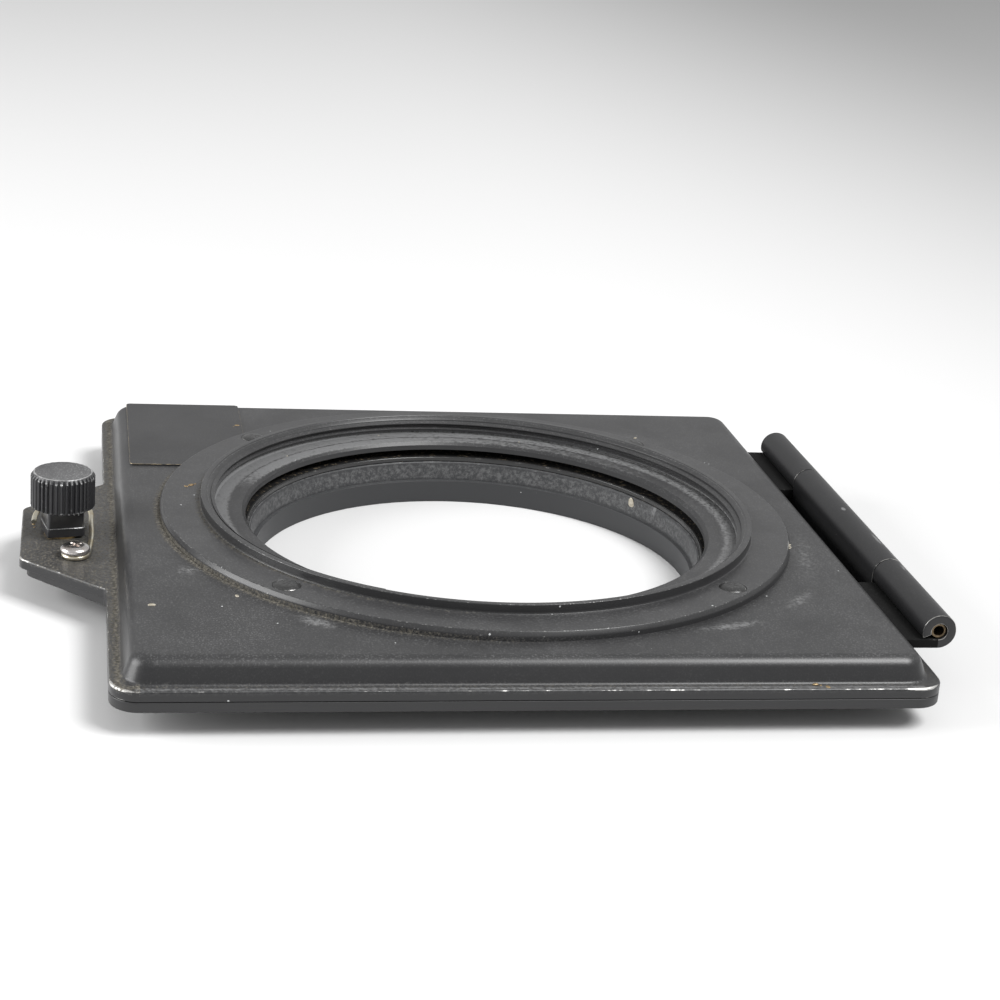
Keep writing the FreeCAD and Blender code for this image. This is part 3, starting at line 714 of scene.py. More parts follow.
# %% Holes in the flange and the panel
LATCH_X = -47.74
SCREW_X = -46.30
SCREW_Y = -7.45
BUSH_R = 2.05
TAP_R = 0.8
WINDOW_EASE = 0.4
bush_loop = circle(bm, BUSH_R, FLANGE_TOP, LATCH_X, 0, 64)
tap_loop = circle(bm, TAP_R, FLANGE_TOP, SCREW_X, SCREW_Y, 32)
open_flat(bm, flange_flat, foot_loop + bush_loop + tap_loop)
bush_floor = extend(bm, bush_loop, FLANGE_BOTTOM - FLANGE_TOP)
tap_floor = extend(bm, tap_loop, FLANGE_BOTTOM - FLANGE_TOP)

window_edge = circle(bm, WINDOW_R + WINDOW_EASE, PANEL_TOP)
open_flat(bm, pan_flat, window_edge)
window_wall = extend(bm, window_edge, -WINDOW_EASE, WINDOW_R / (WINDOW_R + WINDOW_EASE))
window_under = extend(bm, window_wall, PANEL_UNDER - PANEL_TOP + WINDOW_EASE)

inner_square = box_points(-WALL_IN, WALL_IN, -WALL_IN, WALL_IN)
ceiling = outline(bm, inner_square, PANEL_UNDER, [(ALL_FOUR, 1.7, 12)])
cavity_rim = list(ceiling.edges)
bm.normal_update()
open_flat(bm, ceiling, window_under)
cavity_mouth = extend(bm, cavity_rim, FLANGE_BOTTOM - PANEL_UNDER)
open_flat(bm, flange_under, cavity_mouth + bush_floor + tap_floor)
finish_piece(bm, "front_pan", "front", enamel, ["front_frame"])

# %% [markdown]
# ## Rear frame
# The rear frame is a flat plate with the same outline and a slightly smaller ear. A slot in the ear
# lets the latch through. On the hinge side a tongue is bent up and rolled round the pin, which is
# the middle knuckle. Sheet is rolled by drawing its thickness as one short edge and spinning that
# edge about the pin.

# %% Rear plate
rear_end = ear_end + 0.8
rear_points = frame_points + [(-HALF, 16.3), (rear_end, 7.5), (rear_end, -7.5), (-HALF, -16.3)]
bm = start_piece()
plate_flat, plate_under = slab(bm, rear_points, ear_rounding, REAR_BOTTOM, REAR_TOP, edge=0.11, rub=0.5)
SLOT_HALF_W = 2.05
SLOT_HALF_L = 4.0
RING_HOLE_R = 27.6
REAR_SCREW_R = 29.8
slot_points = box_points(LATCH_X - SLOT_HALF_W, LATCH_X + SLOT_HALF_W, -SLOT_HALF_L, SLOT_HALF_L)
slot_face = outline(bm, slot_points, REAR_TOP, [(ALL_FOUR, 0.2, 3)])
slot_loop = list(slot_face.edges)
bmesh.ops.delete(bm, geom=[slot_face], context="FACES_ONLY")
ring_hole = circle(bm, RING_HOLE_R, REAR_TOP)
plate_depth = REAR_BOTTOM - REAR_TOP
lower_loops = extend(bm, slot_loop, plate_depth) + extend(bm, ring_hole, plate_depth)
quarter_turns = [math.radians(45 + 90 * i) for i in range(4)]
for angle in quarter_turns:
    x = REAR_SCREW_R * math.cos(angle)
    y = REAR_SCREW_R * math.sin(angle)
    lower_loops += circle(bm, TAP_R, REAR_BOTTOM, x, y, 32)
open_flat(bm, plate_flat, slot_loop + ring_hole)
open_flat(bm, plate_under, lower_loops)
finish_piece(bm, "rear_plate", "rear", rear_enamel, ["rear_frame"])

# %% [markdown]
# ## Hinge
# The two outer knuckles are strips that lie on the flange and roll up and over the pin, so a crack
# is left where the roll comes back down to the strip. The crack and the square-cut end are what
# tell the eye that this is rolled sheet and not a bar.

# %% Rolled sheet
PIN_X = 45.55
PIN_Z = 6.97
KNUCKLE_R = 1.92
KNUCKLE_BORE = 0.90
SHEET = KNUCKLE_R - KNUCKLE_BORE


def rolled_sheet(bm, start_angle, sweep, run, y0, y1, rub):
    # the section of the sheet: a straight run, then a roll about the pin, drawn out along the pin
    layer = bm.verts.layers.float["rub"]
    before = set(bm.faces)
    ends = []
    for r in (KNUCKLE_BORE, KNUCKLE_R):
        ends.append(bm.verts.new((PIN_X + r * math.cos(start_angle), y0, PIN_Z + r * math.sin(start_angle))))
    edge = bm.edges.new(ends)
    bmesh.ops.spin(bm, geom=ends + [edge], cent=(PIN_X, y0, PIN_Z), axis=(0, -1, 0), dvec=(0, 0, 0),
                   angle=sweep, steps=44, use_merge=False, use_normal_flip=False)
    if run is not None:
        made = bmesh.ops.extrude_edge_only(bm, edges=[edge])["geom"]
        bmesh.ops.translate(bm, verts=of_kind(made, bmesh.types.BMVert), vec=run)
    section = [f for f in bm.faces if f not in before]
    bmesh.ops.recalc_face_normals(bm, faces=section)
    made = bmesh.ops.extrude_face_region(bm, geom=section)["geom"]
    bmesh.ops.translate(bm, verts=of_kind(made, bmesh.types.BMVert), vec=(0, y1 - y0, 0))
    bmesh.ops.recalc_face_normals(bm, faces=bm.faces)
    bm.normal_update()
    rim = [e for e in bm.edges if len(e.link_faces) == 2 and e.calc_face_angle(0.0) > 1.0]
    made = bmesh.ops.bevel(bm, geom=rim, offset=0.12, offset_type="OFFSET", segments=2, profile=0.5,
                           affect="EDGES", material=-1)
    for v in made["verts"]:
        from_end = min(abs(v.co.y - y0), abs(v.co.y - y1))
        v[layer] = rub if 0.01 < from_end < 0.1 else 0.0


# %% The two outer knuckles
CLOSE = math.radians(293)
leaf_run = (41.45 - PIN_X, 0, 0)
for name, y0, y1 in (("hinge_leaf_front", -32.7, -16.18), ("hinge_leaf_back", 14.98, 29.8)):
    bm = start_piece()
    rolled_sheet(bm, -math.pi / 2, CLOSE, leaf_run, y0, y1, 0.8)
    leaf = finish_piece(bm, name + "_rolled", "front", leaf_enamel, [name])
    leaf.data.materials.append(leaf_painted_shade)
    # the faces left of the barrel, the flat of the strip, take the painted shade
    for polygon in leaf.data.polygons:
        polygon.material_index = int(polygon.center.x < (PIN_X - KNUCKLE_R) * MM)

# %% [markdown]
# A small block fills the gap under the back leaf with painted shade, so that no light shows between leaf and
# flange.
# The tongue of the rear frame widens into a root where it leaves the plate.

# %% Shade block, tongue and its root
ROOT_X0 = HALF - 1.5
ROOT_X1 = 44.2
ROOT_TIP = 44.63
bm = start_piece()
# a dark block where only shade falls under the back leaf, in the hinge strip's painted shade
shade_block_points = box_points(HALF + 0.02, ROOT_X1, 15.2, 29.6)
slab(bm, shade_block_points, [], FLANGE_BOTTOM + 0.06, FLANGE_TOP + 0.02, edge=0.1, rub=0.0)
finish_piece(bm, "back_leaf_shade_block", "front", leaf_painted_shade)

bm = start_piece()
rolled_sheet(bm, math.pi, -math.radians(325), (0, 0, REAR_TOP - 0.1 - PIN_Z), -16.02, 14.82, 0.8)
finish_piece(bm, "hinge_tongue", "rear", leaf_enamel)

bm = start_piece()
root_points = [(ROOT_X0, -19.2), (ROOT_X1, -19.2), (ROOT_TIP, -18.2),
               (ROOT_TIP, 17.0), (ROOT_X1, 18.0), (ROOT_X0, 18.0)]
slab(bm, root_points, [], REAR_BOTTOM + 0.01, REAR_TOP - 0.01, edge=0.12, rub=0.6)
finish_piece(bm, "tongue_root", "rear", rear_enamel)

# %% [markdown]
# ## Hinge pin
# The pin is a thin tube. Its open end shows in the front knuckle, tan and rubbed.

# %% Hinge pin
bm = start_piece()
lathe(bm, [(0.58, -32.42, 0.06, 1), (0.86, -32.42, 0.1, 1), (0.86, 29.55, 0.1, 1), (0.58, 29.55, 0.06, 1)],
      steps=48, centre=(PIN_X, 0, PIN_Z), axis=(0, 1, 0))
finish_piece(bm, "pin_tube", "rear", tube, ["hinge_pin"])

# %% [markdown]
# ## Front ring
# The front ring is turned from bar: a flange with four countersunk screws, and a rim that is
# threaded inside for a filter or hood. The thread is a real helix, drawn as one ridge that climbs
# 0.75 mm a turn, and not a stack of rings.

# %% Front ring
THREAD_R = 30.6
THREAD_ROOT = 31.0
RIM_R = 32.2
RING_R = 36.85
SCREW_RING = 34.525
BEVEL_IN = 0.28
BEVEL_DOWN = 0.50
SINK_R = 1.58
SINK_FLOOR_R = 0.85
SINK_DEPTH = 0.75
flange_edge = RING_R - BEVEL_IN
bm = start_piece()
lathe(bm, [(RIM_R + 0.22, RING_TOP, 0, 0), (RIM_R + 0.04, RING_TOP + 0.04, 0.04, 0),
           (RIM_R, RING_TOP + 0.22, 0.04, 0), (RIM_R, RIM_TOP, 0.09, 0.6),
           (31.62, RIM_TOP, 0.03, 0.1), (31.56, RIM_TOP - 0.08, 0.02, 0),
           (31.40, RIM_TOP - 0.08, 0.03, 0.6), (THREAD_ROOT, RIM_TOP - 0.42, 0.04, 0.1),
           (THREAD_ROOT, PANEL_TOP, 0, 0), (RING_R, PANEL_TOP, 0, 0),
           (RING_R, RING_TOP - BEVEL_DOWN, 0.10, 0.4), (flange_edge, RING_TOP, 0.07, 0.6),
           (flange_edge - 0.2, RING_TOP, 0, 0)], closed=False)
flat_rims = [e for e in bm.edges if e.is_boundary and abs(e.verts[0].co.z - RING_TOP) < 1e-4]
sinks = []
for angle in quarter_turns:
    x = SCREW_RING * math.cos(angle)
    y = SCREW_RING * math.sin(angle)
    loop = circle(bm, SINK_R, RING_TOP, x, y, 48)
    sinks += loop
    extend(bm, loop, -SINK_DEPTH, SINK_FLOOR_R / SINK_R, x, y)
fill_between(bm, flat_rims + sinks, (0, 0, 1))
thread(bm, THREAD_ROOT, THREAD_R, PANEL_TOP - 0.72, 2.55)
finish_piece(bm, "front_ring_turned", "front", anodised, ["front_ring"])

# %% [markdown]
# ## Screws with a cross recess
# Each flat-head screw is a cone that fills its countersink. The recess is cut by filling the flat
# between the head's rim and a cross, and drawing the cross down. Paint nearly fills the recesses
# of the front screws, so theirs are shallow.

# %% Ring screws
HEAD_R = 1.5
CROWN_R = 0.92
RIM_R_OF_HEAD = 1.46
SHANK_R = 0.78


def cross_loop(bm, x, y, z, reach, width, turn):
    w = width / 2
    points = [(reach, w), (w, w), (w, reach), (-w, reach), (-w, w), (-reach, w),
              (-reach, -w), (-w, -w), (-w, -reach), (w, -reach), (w, -w), (reach, -w)]
    face = bm.faces.new([bm.verts.new((px, py, 0)) for px, py in points])
    matrix = Matrix.Translation((x, y, z)) @ Matrix.Rotation(turn, 4, "Z")
    bmesh.ops.transform(bm, matrix=matrix, verts=list(face.verts))
    edges = list(face.edges)
    bmesh.ops.delete(bm, geom=[face], context="FACES_ONLY")
    return edges


def sunk_head(bm, x, y, rim_z, crown, tip, turn, depth):
    # from the middle of the crown outwards: recess, crown, rim, cone and shank
    layer = bm.verts.layers.float["rub"]
    shape = [(CROWN_R, crown), (1.15, crown * 0.72), (1.35, crown * 0.36), (RIM_R_OF_HEAD, 0.0),
             (HEAD_R, -0.05)]
    flat = circle(bm, CROWN_R, rim_z + crown, x, y, 48)
    recess = cross_loop(bm, x, y, rim_z + crown, 0.80, 0.26, turn)
    fill_between(bm, flat + recess, (0, 0, 1))
    floor = extend(bm, recess, -depth, 0.7, x, y)
    fill_between(bm, floor, (0, 0, 1))
    wall = flat
    for (r0, z0), (r1, z1) in zip(shape, shape[1:]):
        wall = extend(bm, wall, z1 - z0, r1 / r0, x, y)
        for edge in wall:
            for v in edge.verts:
                v[layer] = 0.75 if r1 == RIM_R_OF_HEAD else 0.2
    neck = extend(bm, wall, -0.65, SHANK_R / HEAD_R, x, y)
    end = extend(bm, neck, tip - (rim_z - 0.70), 1.0, x, y)
    fill_between(bm, end, (0, 0, -1))


def four_screws(ring_r, rim_z, crown, tip, turn_step, depth):
    bm = start_piece()
    for i, angle in enumerate(quarter_turns):
        sunk_head(bm, ring_r * math.cos(angle), ring_r * math.sin(angle), rim_z, crown, tip,
                  turn_step * i, depth)
    return bm


bm = four_screws(SCREW_RING, RING_TOP - 0.02, 0.26, PANEL_UNDER + 0.1, 0.35, 0.03)
finish_piece(bm, "front_screws", "front", screw_black, ["front_ring_screws"])
bm = four_screws(REAR_SCREW_R, 5.15, 0.01, REAR_BOTTOM + 0.05, 0.5, 0.2)
finish_piece(bm, "rear_screws", "rear", screw_black, ["rear_ring_screws"])

# %% [markdown]
# ## Rear ring and light seal
# The rear ring carries the lens thread below, and its stepped bore is what shows through the
# window. The felt ring lies on its flange. Its inner edge is a little soft and uneven, so its
# points are moved by a few hundredths of a millimetre.

# %% Rear ring
BORE_R = 25.7
LENS_THREAD_R = 27.5
LENS_THREAD_ROOT = 27.1
RING_FLANGE_R = 32.0
RING_FLANGE_TOP = 5.20
bm = start_piece()
lathe(bm, [(BORE_R, 0, 0.12, 0.7), (LENS_THREAD_R, 0, 0.2, 0.8), (LENS_THREAD_ROOT, 0.25, 0, 0),
           (LENS_THREAD_ROOT, REAR_TOP, 0, 0), (RING_FLANGE_R, REAR_TOP, 0.08, 0.4),
           (RING_FLANGE_R, RING_FLANGE_TOP, 0.08, 0.5), (26.42, RING_FLANGE_TOP, 0.05, 0.75),
           (26.30, 5.08, 0.04, 0.4), (26.10, 2.86, 0.03, 0.2), (BORE_R, 2.80, 0.04, 0.25)])
thread(bm, LENS_THREAD_ROOT, LENS_THREAD_R, 0.12, 3.1)
finish_piece(bm, "rear_ring_turned", "rear", inner_black, ["rear_ring"])

# %% Felt ring
FELT_BOTTOM = RING_FLANGE_TOP + 0.01
FELT_TOP = 5.72
bm = start_piece()
lathe(bm, [(26.6, FELT_BOTTOM, 0, 0), (31.6, FELT_BOTTOM, 0, 0), (31.6, FELT_TOP, 0.15, 0),
           (26.6, FELT_TOP, 0.12, 0)], steps=360)
for v in bm.verts:
    if v.co.z > 5.3:
        angle = math.atan2(v.co.y, v.co.x)
        v.co.z += 0.02 * math.sin(41 * angle) * math.sin(13 * angle + 1.0)
finish_piece(bm, "felt_ring", "rear", felt, ["light_seal"])

# %% [markdown]
# The photograph shows a thin bright line on the seal's inner edge. It is a narrow glossy lip that
# holds the felt's edge down, turned like the rings.

# %% Lip of the seal
bm = start_piece()
lathe(bm, [(26.52, 5.30, 0, 0), (26.60, 5.30, 0, 0), (26.60, 5.70, 0, 0), (26.95, 5.74, 0.03, 0),
           (26.90, 5.80, 0.03, 0.2), (26.60, 5.80, 0.05, 0.6), (26.52, 5.72, 0.03, 0.6)])
finish_piece(bm, "seal_lip", "rear", gloss_black)

# %% [markdown]
# ## Blank plate
# A thin plate sits on the corner of the panel, cut to the curve of the ring. Its edges are rubbed
# to the brass. The curve is drawn by spinning one point about the lens axis.

# %% Blank plate
LABEL_X0 = -39.9
LABEL_X1 = -25.4
LABEL_Y0 = 16.2
LABEL_Y1 = 40.2
curve_r = RING_R + 0.1
bm = start_piece()
first = bm.verts.new((LABEL_X1, math.sqrt(curve_r ** 2 - LABEL_X1 ** 2), PANEL_TOP))
sweep = math.acos(LABEL_X1 / curve_r) - (math.pi - math.asin(LABEL_Y0 / curve_r))
bmesh.ops.spin(bm, geom=[first], cent=(0, 0, 0), axis=(0, 0, 1), dvec=(0, 0, 0), angle=-sweep, steps=24,
               use_merge=False)
ends = [v for v in bm.verts if len(v.link_edges) == 1]
ends.sort(key=lambda v: v.co.x)
corners_at = [bm.verts.new((x, y, PANEL_TOP)) for x, y in
              ((LABEL_X0, LABEL_Y0), (LABEL_X0, LABEL_Y1), (LABEL_X1, LABEL_Y1))]
chain = [ends[0]] + corners_at + [ends[-1]]
for pair in zip(chain, chain[1:]):
    bm.edges.new(pair)
bmesh.ops.edgeloop_fill(bm, edges=list(bm.edges))
soften(bm, corners_at, 0.5, 5)
label_face = max(bm.faces, key=lambda f: len(f.verts))
bm.normal_update()
if label_face.normal.z < 0:
    label_face.normal_flip()
label_top, label_bottom = thicken(bm, label_face, 0.17)
round_over(bm, label_top, 0.05, 3, 1.0)
finish_piece(bm, "blank_plate", "front", plate_black, ["label_plate"])

# %% [markdown]
# ## Latch knob and cam
# The knob is a turned head with straight flutes and a chamfer that hands have rubbed bright. A
# circle of points is drawn, every other group of them is pulled in to cut the flutes, and the wall
# is drawn up from it. The square cam below it turns with it.

# %% Knob
KNOB_R = 3.6
ROOT_R = KNOB_R - 0.24
FLUTES = 38
KNOB_Z0 = 8.45
KNOB_Z1 = 12.5
CAM_TURN = math.radians(12)


def flute_ring(bm, edges, z, crest, root, rub_crest, rub_root):
    # lifts the wall to height z and sets the crests and the roots of the flutes
    layer = bm.verts.layers.float["rub"]
    made = bmesh.ops.extrude_edge_only(bm, edges=edges)["geom"]
    for v in of_kind(made, bmesh.types.BMVert):
        angle = math.atan2(v.co.y, v.co.x) * FLUTES / (2 * math.pi)
        wave = 0.5 + 0.5 * math.cos(2 * math.pi * angle)
        share = min(1.0, max(0.0, 2.2 * wave - 0.35))
        r = root + (crest - root) * share
        v.co = Vector((v.co.x, v.co.y, 0)).normalized() * r + Vector((0, 0, z))
        v[layer] = rub_root + (rub_crest - rub_root) * share
    return of_kind(made, bmesh.types.BMEdge)


def set_on_latch(bm):
    # turns a piece to the photographed position of the latch and moves it to the latch's axis
    bmesh.ops.rotate(bm, verts=bm.verts, cent=(0, 0, 0), matrix=Matrix.Rotation(CAM_TURN, 3, "Z"))
    bmesh.ops.translate(bm, verts=bm.verts, vec=(LATCH_X, 0, 0))


# each step: height, how far the crests and the roots lie inside the knob's radius, and their rub
KNOB_STEPS = [(KNOB_Z0 + 0.10, 0, 0.24, 0.6, 0.0), (KNOB_Z0 + 0.35, 0, 0.24, 0.2, 0.0),
              (KNOB_Z1 - 0.80, 0, 0.24, 0.2, 0.0), (KNOB_Z1 - 0.46, 0, 0.24, 0.55, 0.1),
              (KNOB_Z1 - 0.28, 0.16, 0.24, 0.2, 0.0), (KNOB_Z1 - 0.10, 0.27, 0.27, 0.1, 0.1),
              (KNOB_Z1 - 0.02, 0.34, 0.34, 0.75, 0.75), (KNOB_Z1, 0.40, 0.40, 0.95, 0.95),
              (KNOB_Z1 - 0.01, 0.48, 0.48, 0.4, 0.4), (KNOB_Z1 - 0.04, 0.60, 0.60, 0.0, 0.0),
              (KNOB_Z1 - 0.04, 1.6, 1.6, 0.0, 0.0)]
bm = start_piece()
base = bmesh.ops.create_circle(bm, cap_ends=False, segments=FLUTES * 8, radius=KNOB_R - 0.12,
                               matrix=Matrix.Translation((0, 0, KNOB_Z0)))["verts"]
wall = list({e for v in base for e in v.link_edges})
fill_between(bm, wall, (0, 0, -1))
for z, crest_in, root_in, rub_crest, rub_root in KNOB_STEPS:
    wall = flute_ring(bm, wall, z, KNOB_R - crest_in, KNOB_R - root_in, rub_crest, rub_root)
fill_between(bm, wall, (0, 0, 1))
set_on_latch(bm)
finish_piece(bm, "fluted_knob", "knob", knob_black, ["latch_knob"])

# %% [markdown]
# The cam is a square block with a slightly wider square foot, which the wire spring leans on.

# %% Square cam
FOOT_HALF = 2.15
BLOCK_HALF = 2.05
CAM_CORNERS = [(ALL_FOUR, 0.35, 4)]
bm = start_piece()
foot_square = box_points(-FOOT_HALF, FOOT_HALF, -FOOT_HALF, FOOT_HALF)
block_square = box_points(-BLOCK_HALF, BLOCK_HALF, -BLOCK_HALF, BLOCK_HALF)
slab(bm, foot_square, CAM_CORNERS, 5.30, 6.35, edge=0.07, rub=0.8)
slab(bm, block_square, CAM_CORNERS, 6.30, KNOB_Z0 + 0.01, edge=0.05, rub=0.5)
set_on_latch(bm)
finish_piece(bm, "square_cam", "knob", knob_black, ["latch_cam"])

# %% [markdown]
# ## Wire spring and its screw
# The spring is one length of round wire: a loop under the screw, then a leg that leans on the
# cam. A curve with a round bevel is the natural way to draw wire, and it becomes a mesh once its
# line is right.

# %% Wire spring
WIRE_R = 0.3
WIRE_Z = FLANGE_TOP + WIRE_R + 0.02
LOOP_R = 1.29
leg_x = LATCH_X + 2.833 + WIRE_R + 0.06
route = []
for degrees in range(60, 331, 30):
    angle = math.radians(degrees)
    route.append((SCREW_X + LOOP_R * math.cos(angle), SCREW_Y + LOOP_R * math.sin(angle), WIRE_Z))
route += [(SCREW_X + 1.40, SCREW_Y - 0.1, WIRE_Z), (leg_x - 0.1, -5.2, WIRE_Z + 0.02),
          (leg_x + 0.1, -2.6, WIRE_Z + 0.38), (leg_x, 0.2, WIRE_Z + 0.88), (leg_x + 0.05, 2.9, WIRE_Z + 1.25),
          (leg_x - 0.85, 4.53, WIRE_Z + 1.38), (LATCH_X, 5.03, WIRE_Z + 1.43),
          (LATCH_X - 2.3, 4.0, WIRE_Z + 1.30), (LATCH_X - 3.15, 2.3, WIRE_Z + 1.05),
          (LATCH_X - 3.21, 0.8, WIRE_Z + 0.70)]
line = bpy.data.curves.new("spring line", "CURVE")
line.dimensions = "3D"
line.bevel_depth = WIRE_R * MM
line.bevel_resolution = 5
line.use_fill_caps = True
line.resolution_u = 6
spline = line.splines.new("NURBS")
spline.points.add(len(route) - 1)
for point, (x, y, z) in zip(spline.points, route):
    point.co = (x * MM, y * MM, z * MM, 1.0)
spline.order_u = 3
spline.use_endpoint_u = True
holder = bpy.data.objects.new("spring line", line)
bpy.context.scene.collection.objects.link(holder)
bpy.context.view_layer.update()
wire_mesh = bpy.data.meshes.new_from_object(holder.evaluated_get(bpy.context.evaluated_depsgraph_get()))
bpy.data.objects.remove(holder)
bm = start_piece()
bm.from_mesh(wire_mesh)
bmesh.ops.scale(bm, vec=(1 / MM, 1 / MM, 1 / MM), verts=bm.verts)
finish_piece(bm, "wire_spring", "front", wire_metal, ["latch_spring"])

# %% [markdown]
# The screw that holds the wire has a domed, plated head. Its wall is lifted ring by ring, and the
# recess is cut as in the other screws.

# %% Bright screw
HEAD_Z0 = WIRE_Z + WIRE_R + 0.03
FOOT_OF_HEAD_R = 1.52
DOME = [(0.06, 1.62), (0.10, 1.65), (0.22, 1.645), (0.14, 1.58),
        (0.12, 1.45), (0.08, 1.29), (0.05, 1.12), (0.04, 0.99)]
dome_top = HEAD_Z0 + sum(lift for lift, r in DOME)
bm = start_piece()
foot = circle(bm, FOOT_OF_HEAD_R, HEAD_Z0, SCREW_X, SCREW_Y, 64)
shank = extend(bm, foot, 0.0, SHANK_R / FOOT_OF_HEAD_R, SCREW_X, SCREW_Y)
end = extend(bm, shank, FLANGE_BOTTOM + 0.02 - HEAD_Z0, 1.0, SCREW_X, SCREW_Y)
fill_between(bm, end, (0, 0, -1))
wall = foot
last_r = FOOT_OF_HEAD_R
for lift, r in DOME:
    wall = extend(bm, wall, lift, r / last_r, SCREW_X, SCREW_Y)
    last_r = r
recess = cross_loop(bm, SCREW_X, SCREW_Y, dome_top, 0.80, 0.34, math.radians(35))
fill_between(bm, wall + recess, (0, 0, 1))
lip = extend(bm, recess, -0.05, 0.93, SCREW_X, SCREW_Y)
floor = extend(bm, lip, -0.28, 0.8, SCREW_X, SCREW_Y)
fill_between(bm, floor, (0, 0, 1))
finish_piece(bm, "bright_screw", "front", bright, ["latch_screw"])

# %% [markdown]
# ## Crumbs
# A few grains of dirt are large enough to see one by one. Each is a flattened little ball that
# sits on the surface below it, and all grains of one colour make one piece. One larger fleck
# stands upright on the wall of the bore.

# %% Crumbs
# each spot: x, y, height of the surface and size
PALE_SPOTS = [(-38.5, -27.4, 7.65, 0.34), (-29.6, -24.9, 7.65, 0.26), (25.5, 26.9, 8.70, 0.22),
              (-8.0, 29.3, 7.65, 0.12), (-20.5, 20.6, 7.65, 0.14), (10.2, 27.6, 7.65, 0.10),
              (-31.5, -1.5, 8.70, 0.10), (34.95, -11.2, 8.60, 0.20), (34.75, -11.9, 8.62, 0.18),
              (35.0, -10.6, 8.60, 0.13), (34.6, -12.4, 8.64, 0.12)]
GOLD_SPOTS = [(-26.0, 31.8, 7.82, 0.30), (-26.5, 31.2, 7.82, 0.16), (-33.0, 6.5, 8.70, 0.32),
              (-33.6, 6.0, 8.70, 0.22), (-32.5, 6.9, 8.70, 0.14), (28.8, -42.0, 5.12, 0.28),
              (30.0, -42.5, 5.05, 0.26), (29.3, -42.2, 5.10, 0.14), (-51.0, 2.6, 5.05, 0.18),
              (-50.9, 1.7, 5.05, 0.14)]


def crumb(bm, turn, place, size, squash, tilt=0.0, fineness=2):
    # a squashed ball, tilted and turned where it lies, and then moved to its place
    matrix = turn @ Matrix.Rotation(tilt, 4, "Y") @ Matrix.Diagonal((*squash, 1))
    bmesh.ops.create_icosphere(bm, subdivisions=fineness, radius=size, matrix=place @ matrix)


bm = start_piece()
around = Matrix.Rotation(math.radians(31.75), 4, "Z") @ Matrix.Translation((26.24, 0, 4.15))
crumb(bm, Matrix.Identity(4), around, 1.0, (0.07, 0.5, 1.0), tilt=math.radians(-5), fineness=3)
finish_piece(bm, "bore_fleck", "rear", pale_crumb, sharp=50)
for name, spots, material in (("pale_crumbs", PALE_SPOTS, pale_crumb),
                              ("golden_crumbs", GOLD_SPOTS, gold_crumb)):
    bm = start_piece()
    for i, (x, y, z, size) in enumerate(spots):
        crumb(bm, Matrix.Rotation(1.9 * i, 4, "Z"), Matrix.Translation((x, y, z)), size, (1.3, 0.8, 0.45))
    finish_piece(bm, name, "front", material, sharp=50)

# %% [markdown]
# ## Pieces that keep their engineering shape
# Guides, leaf springs, bush, spindle, clip and dog are small and mostly hidden. Their shape is
# already right, so each only gets its finish.

# %% Finishes for the plain pieces
plain = {"latch_bush": brass, "latch_spindle": steel, "latch_clip": steel, "latch_dog": steel,
         "filter_spring_left": steel, "filter_spring_right": steel, "filter_guide_1": rear_enamel,
         "filter_guide_2": rear_enamel, "filter_guide_3": rear_enamel, "filter_guide_4": rear_enamel}
for name, material in plain.items():
    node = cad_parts[name]
    node.data.materials.clear()
    node.data.materials.append(material)

# %% [markdown]
# ## Floor
# The holder stands on a plain pale sheet. What the camera sees of the floor, and what shiny pieces
# mirror, takes a sloping colour: painted shade that falls off to grey on the hinge side, as in the
# photograph. All other rays see an even pale floor, so the light that it sends back up stays even.

# %% Floor
FLOOR_NEAR = 0.74
FLOOR_FAR = 0.46
FALL_START = 0.03
FALL_END = 0.26
EVEN_FLOOR = (0.85, 0.85, 0.85)
bm = bmesh.new()
bmesh.ops.create_grid(bm, x_segments=1, y_segments=1, size=3.0)
mesh = bpy.data.meshes.new("floor")
bm.to_mesh(mesh)
bm.free()
floor_piece = bpy.data.objects.new("floor", mesh)
bpy.context.scene.collection.objects.link(floor_piece)
white, shader, place = bare_material("white sweep with painted falloff")
across = split_xyz(place["Object"])[0]
# painted shade: the floor seen by the camera darkens from near to far along x, as light falls off
painted_falloff = new_node("ShaderNodeMapRange", across)
painted_falloff.interpolation_type = "SMOOTHSTEP"
for label, value in (("Value", across), ("From Min", FALL_START), ("From Max", FALL_END),
                     ("To Min", FLOOR_NEAR), ("To Max", FLOOR_FAR)):
    feed(painted_falloff.inputs[label], value)
grey = new_node("ShaderNodeCombineColor", across)
for socket in grey.inputs:
    feed(socket, painted_falloff.outputs[0])
path = new_node("ShaderNodeLightPath", across).outputs
seen = most(path["Is Glossy Ray"], path["Is Transmission Ray"], path["Is Camera Ray"])
feed(shader.inputs["Base Color"], blend(seen, EVEN_FLOOR, grey.outputs[0]))
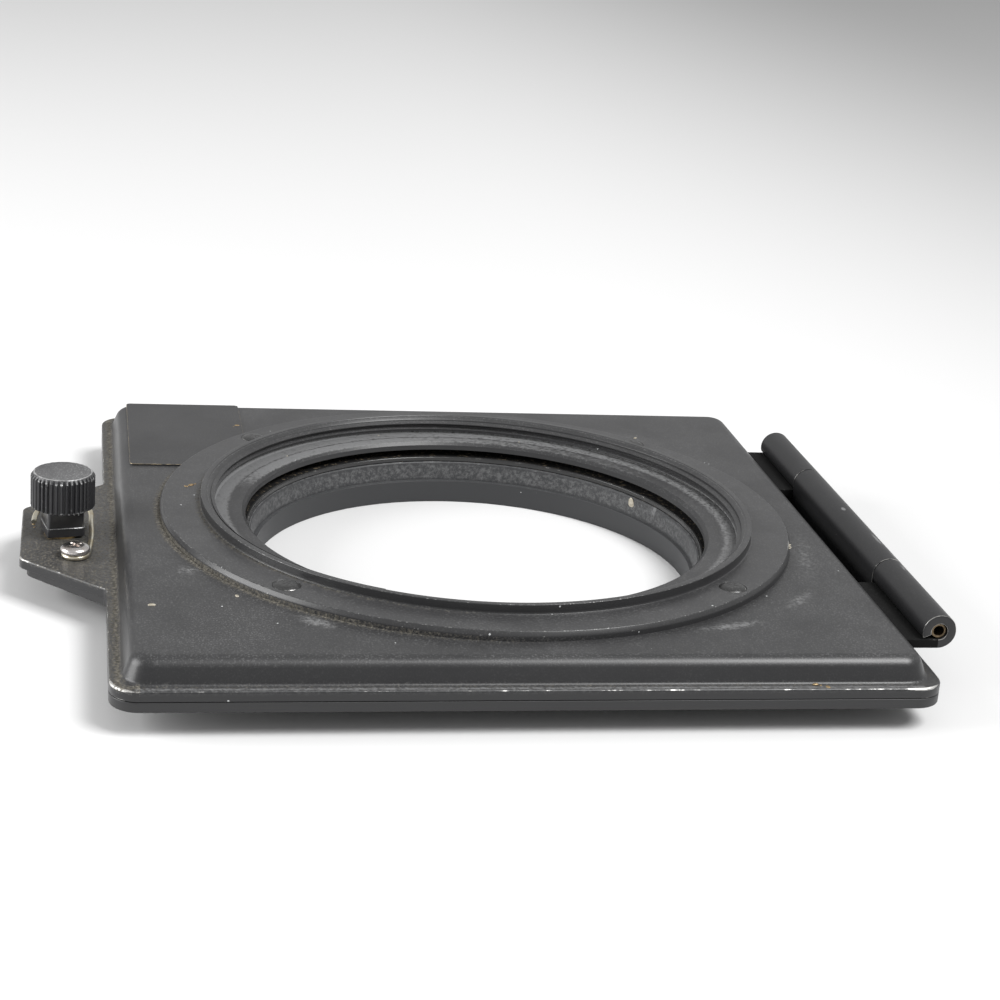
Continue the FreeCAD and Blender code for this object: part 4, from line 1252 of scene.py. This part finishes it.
shader.inputs["Roughness"].default_value = 1.0
shader.inputs["Specular IOR Level"].default_value = 0.0
mesh.materials.append(white)

# %% [markdown]
# ## Light
# A large soft box hangs in front, above and to the right, and puts the soft line on the front
# shoulder. A second one stands low on the latch side. A dim pale room fills the shadows.

# %% Light
world = bpy.data.worlds.new("pale room")
bpy.context.scene.world = world
world.use_nodes = True
back = world.node_tree.nodes["Background"]
back.inputs["Color"].default_value = (1.0, 1.0, 1.0, 1.0)
back.inputs["Strength"].default_value = 0.50


def soft_box(name, place, side, energy):
    lamp_data = bpy.data.lights.new(name, "AREA")
    lamp_data.shape = "SQUARE"
    lamp_data.size = side
    lamp_data.energy = energy
    lamp = bpy.data.objects.new(name, lamp_data)
    bpy.context.scene.collection.objects.link(lamp)
    lamp.location = place
    lamp.rotation_euler = (-Vector(place)).to_track_quat("-Z", "Y").to_euler()


soft_box("overhead soft box", (0.36, -0.28, 0.67), 0.38, 6.4)
soft_box("side soft box", (-0.50, 0.0, 0.19), 0.34, 2.5)

# %% [markdown]
# ## Camera
# The camera was solved from the photograph, with a long lens close to the object. Its three
# directions are right, above and ahead.

# %% Camera
right = Vector((0.98212, -0.17249, 0.07544))
above = Vector((-0.01170, 0.34401, 0.93890))
ahead = Vector((0.18790, 0.92299, -0.33584))
turn = Matrix((right, above, -ahead)).transposed()
camera_data = bpy.data.cameras.new("camera")
camera_data.sensor_fit = "HORIZONTAL"
camera_data.sensor_width = 36.0
camera_data.lens = 80.553
camera_data.clip_start = 0.01
camera_data.clip_end = 20.0
camera = bpy.data.objects.new("camera", camera_data)
bpy.context.scene.collection.objects.link(camera)
camera.matrix_world = Matrix.Translation((-0.04673, -0.24279, 0.09799)) @ turn.to_4x4()
bpy.context.scene.camera = camera
bpy.context.scene.view_settings.view_transform = "Standard"

# %% [markdown]
# ## Last update
# The scene is brought up to date once more.

# %% Last update
bpy.context.view_layer.update()
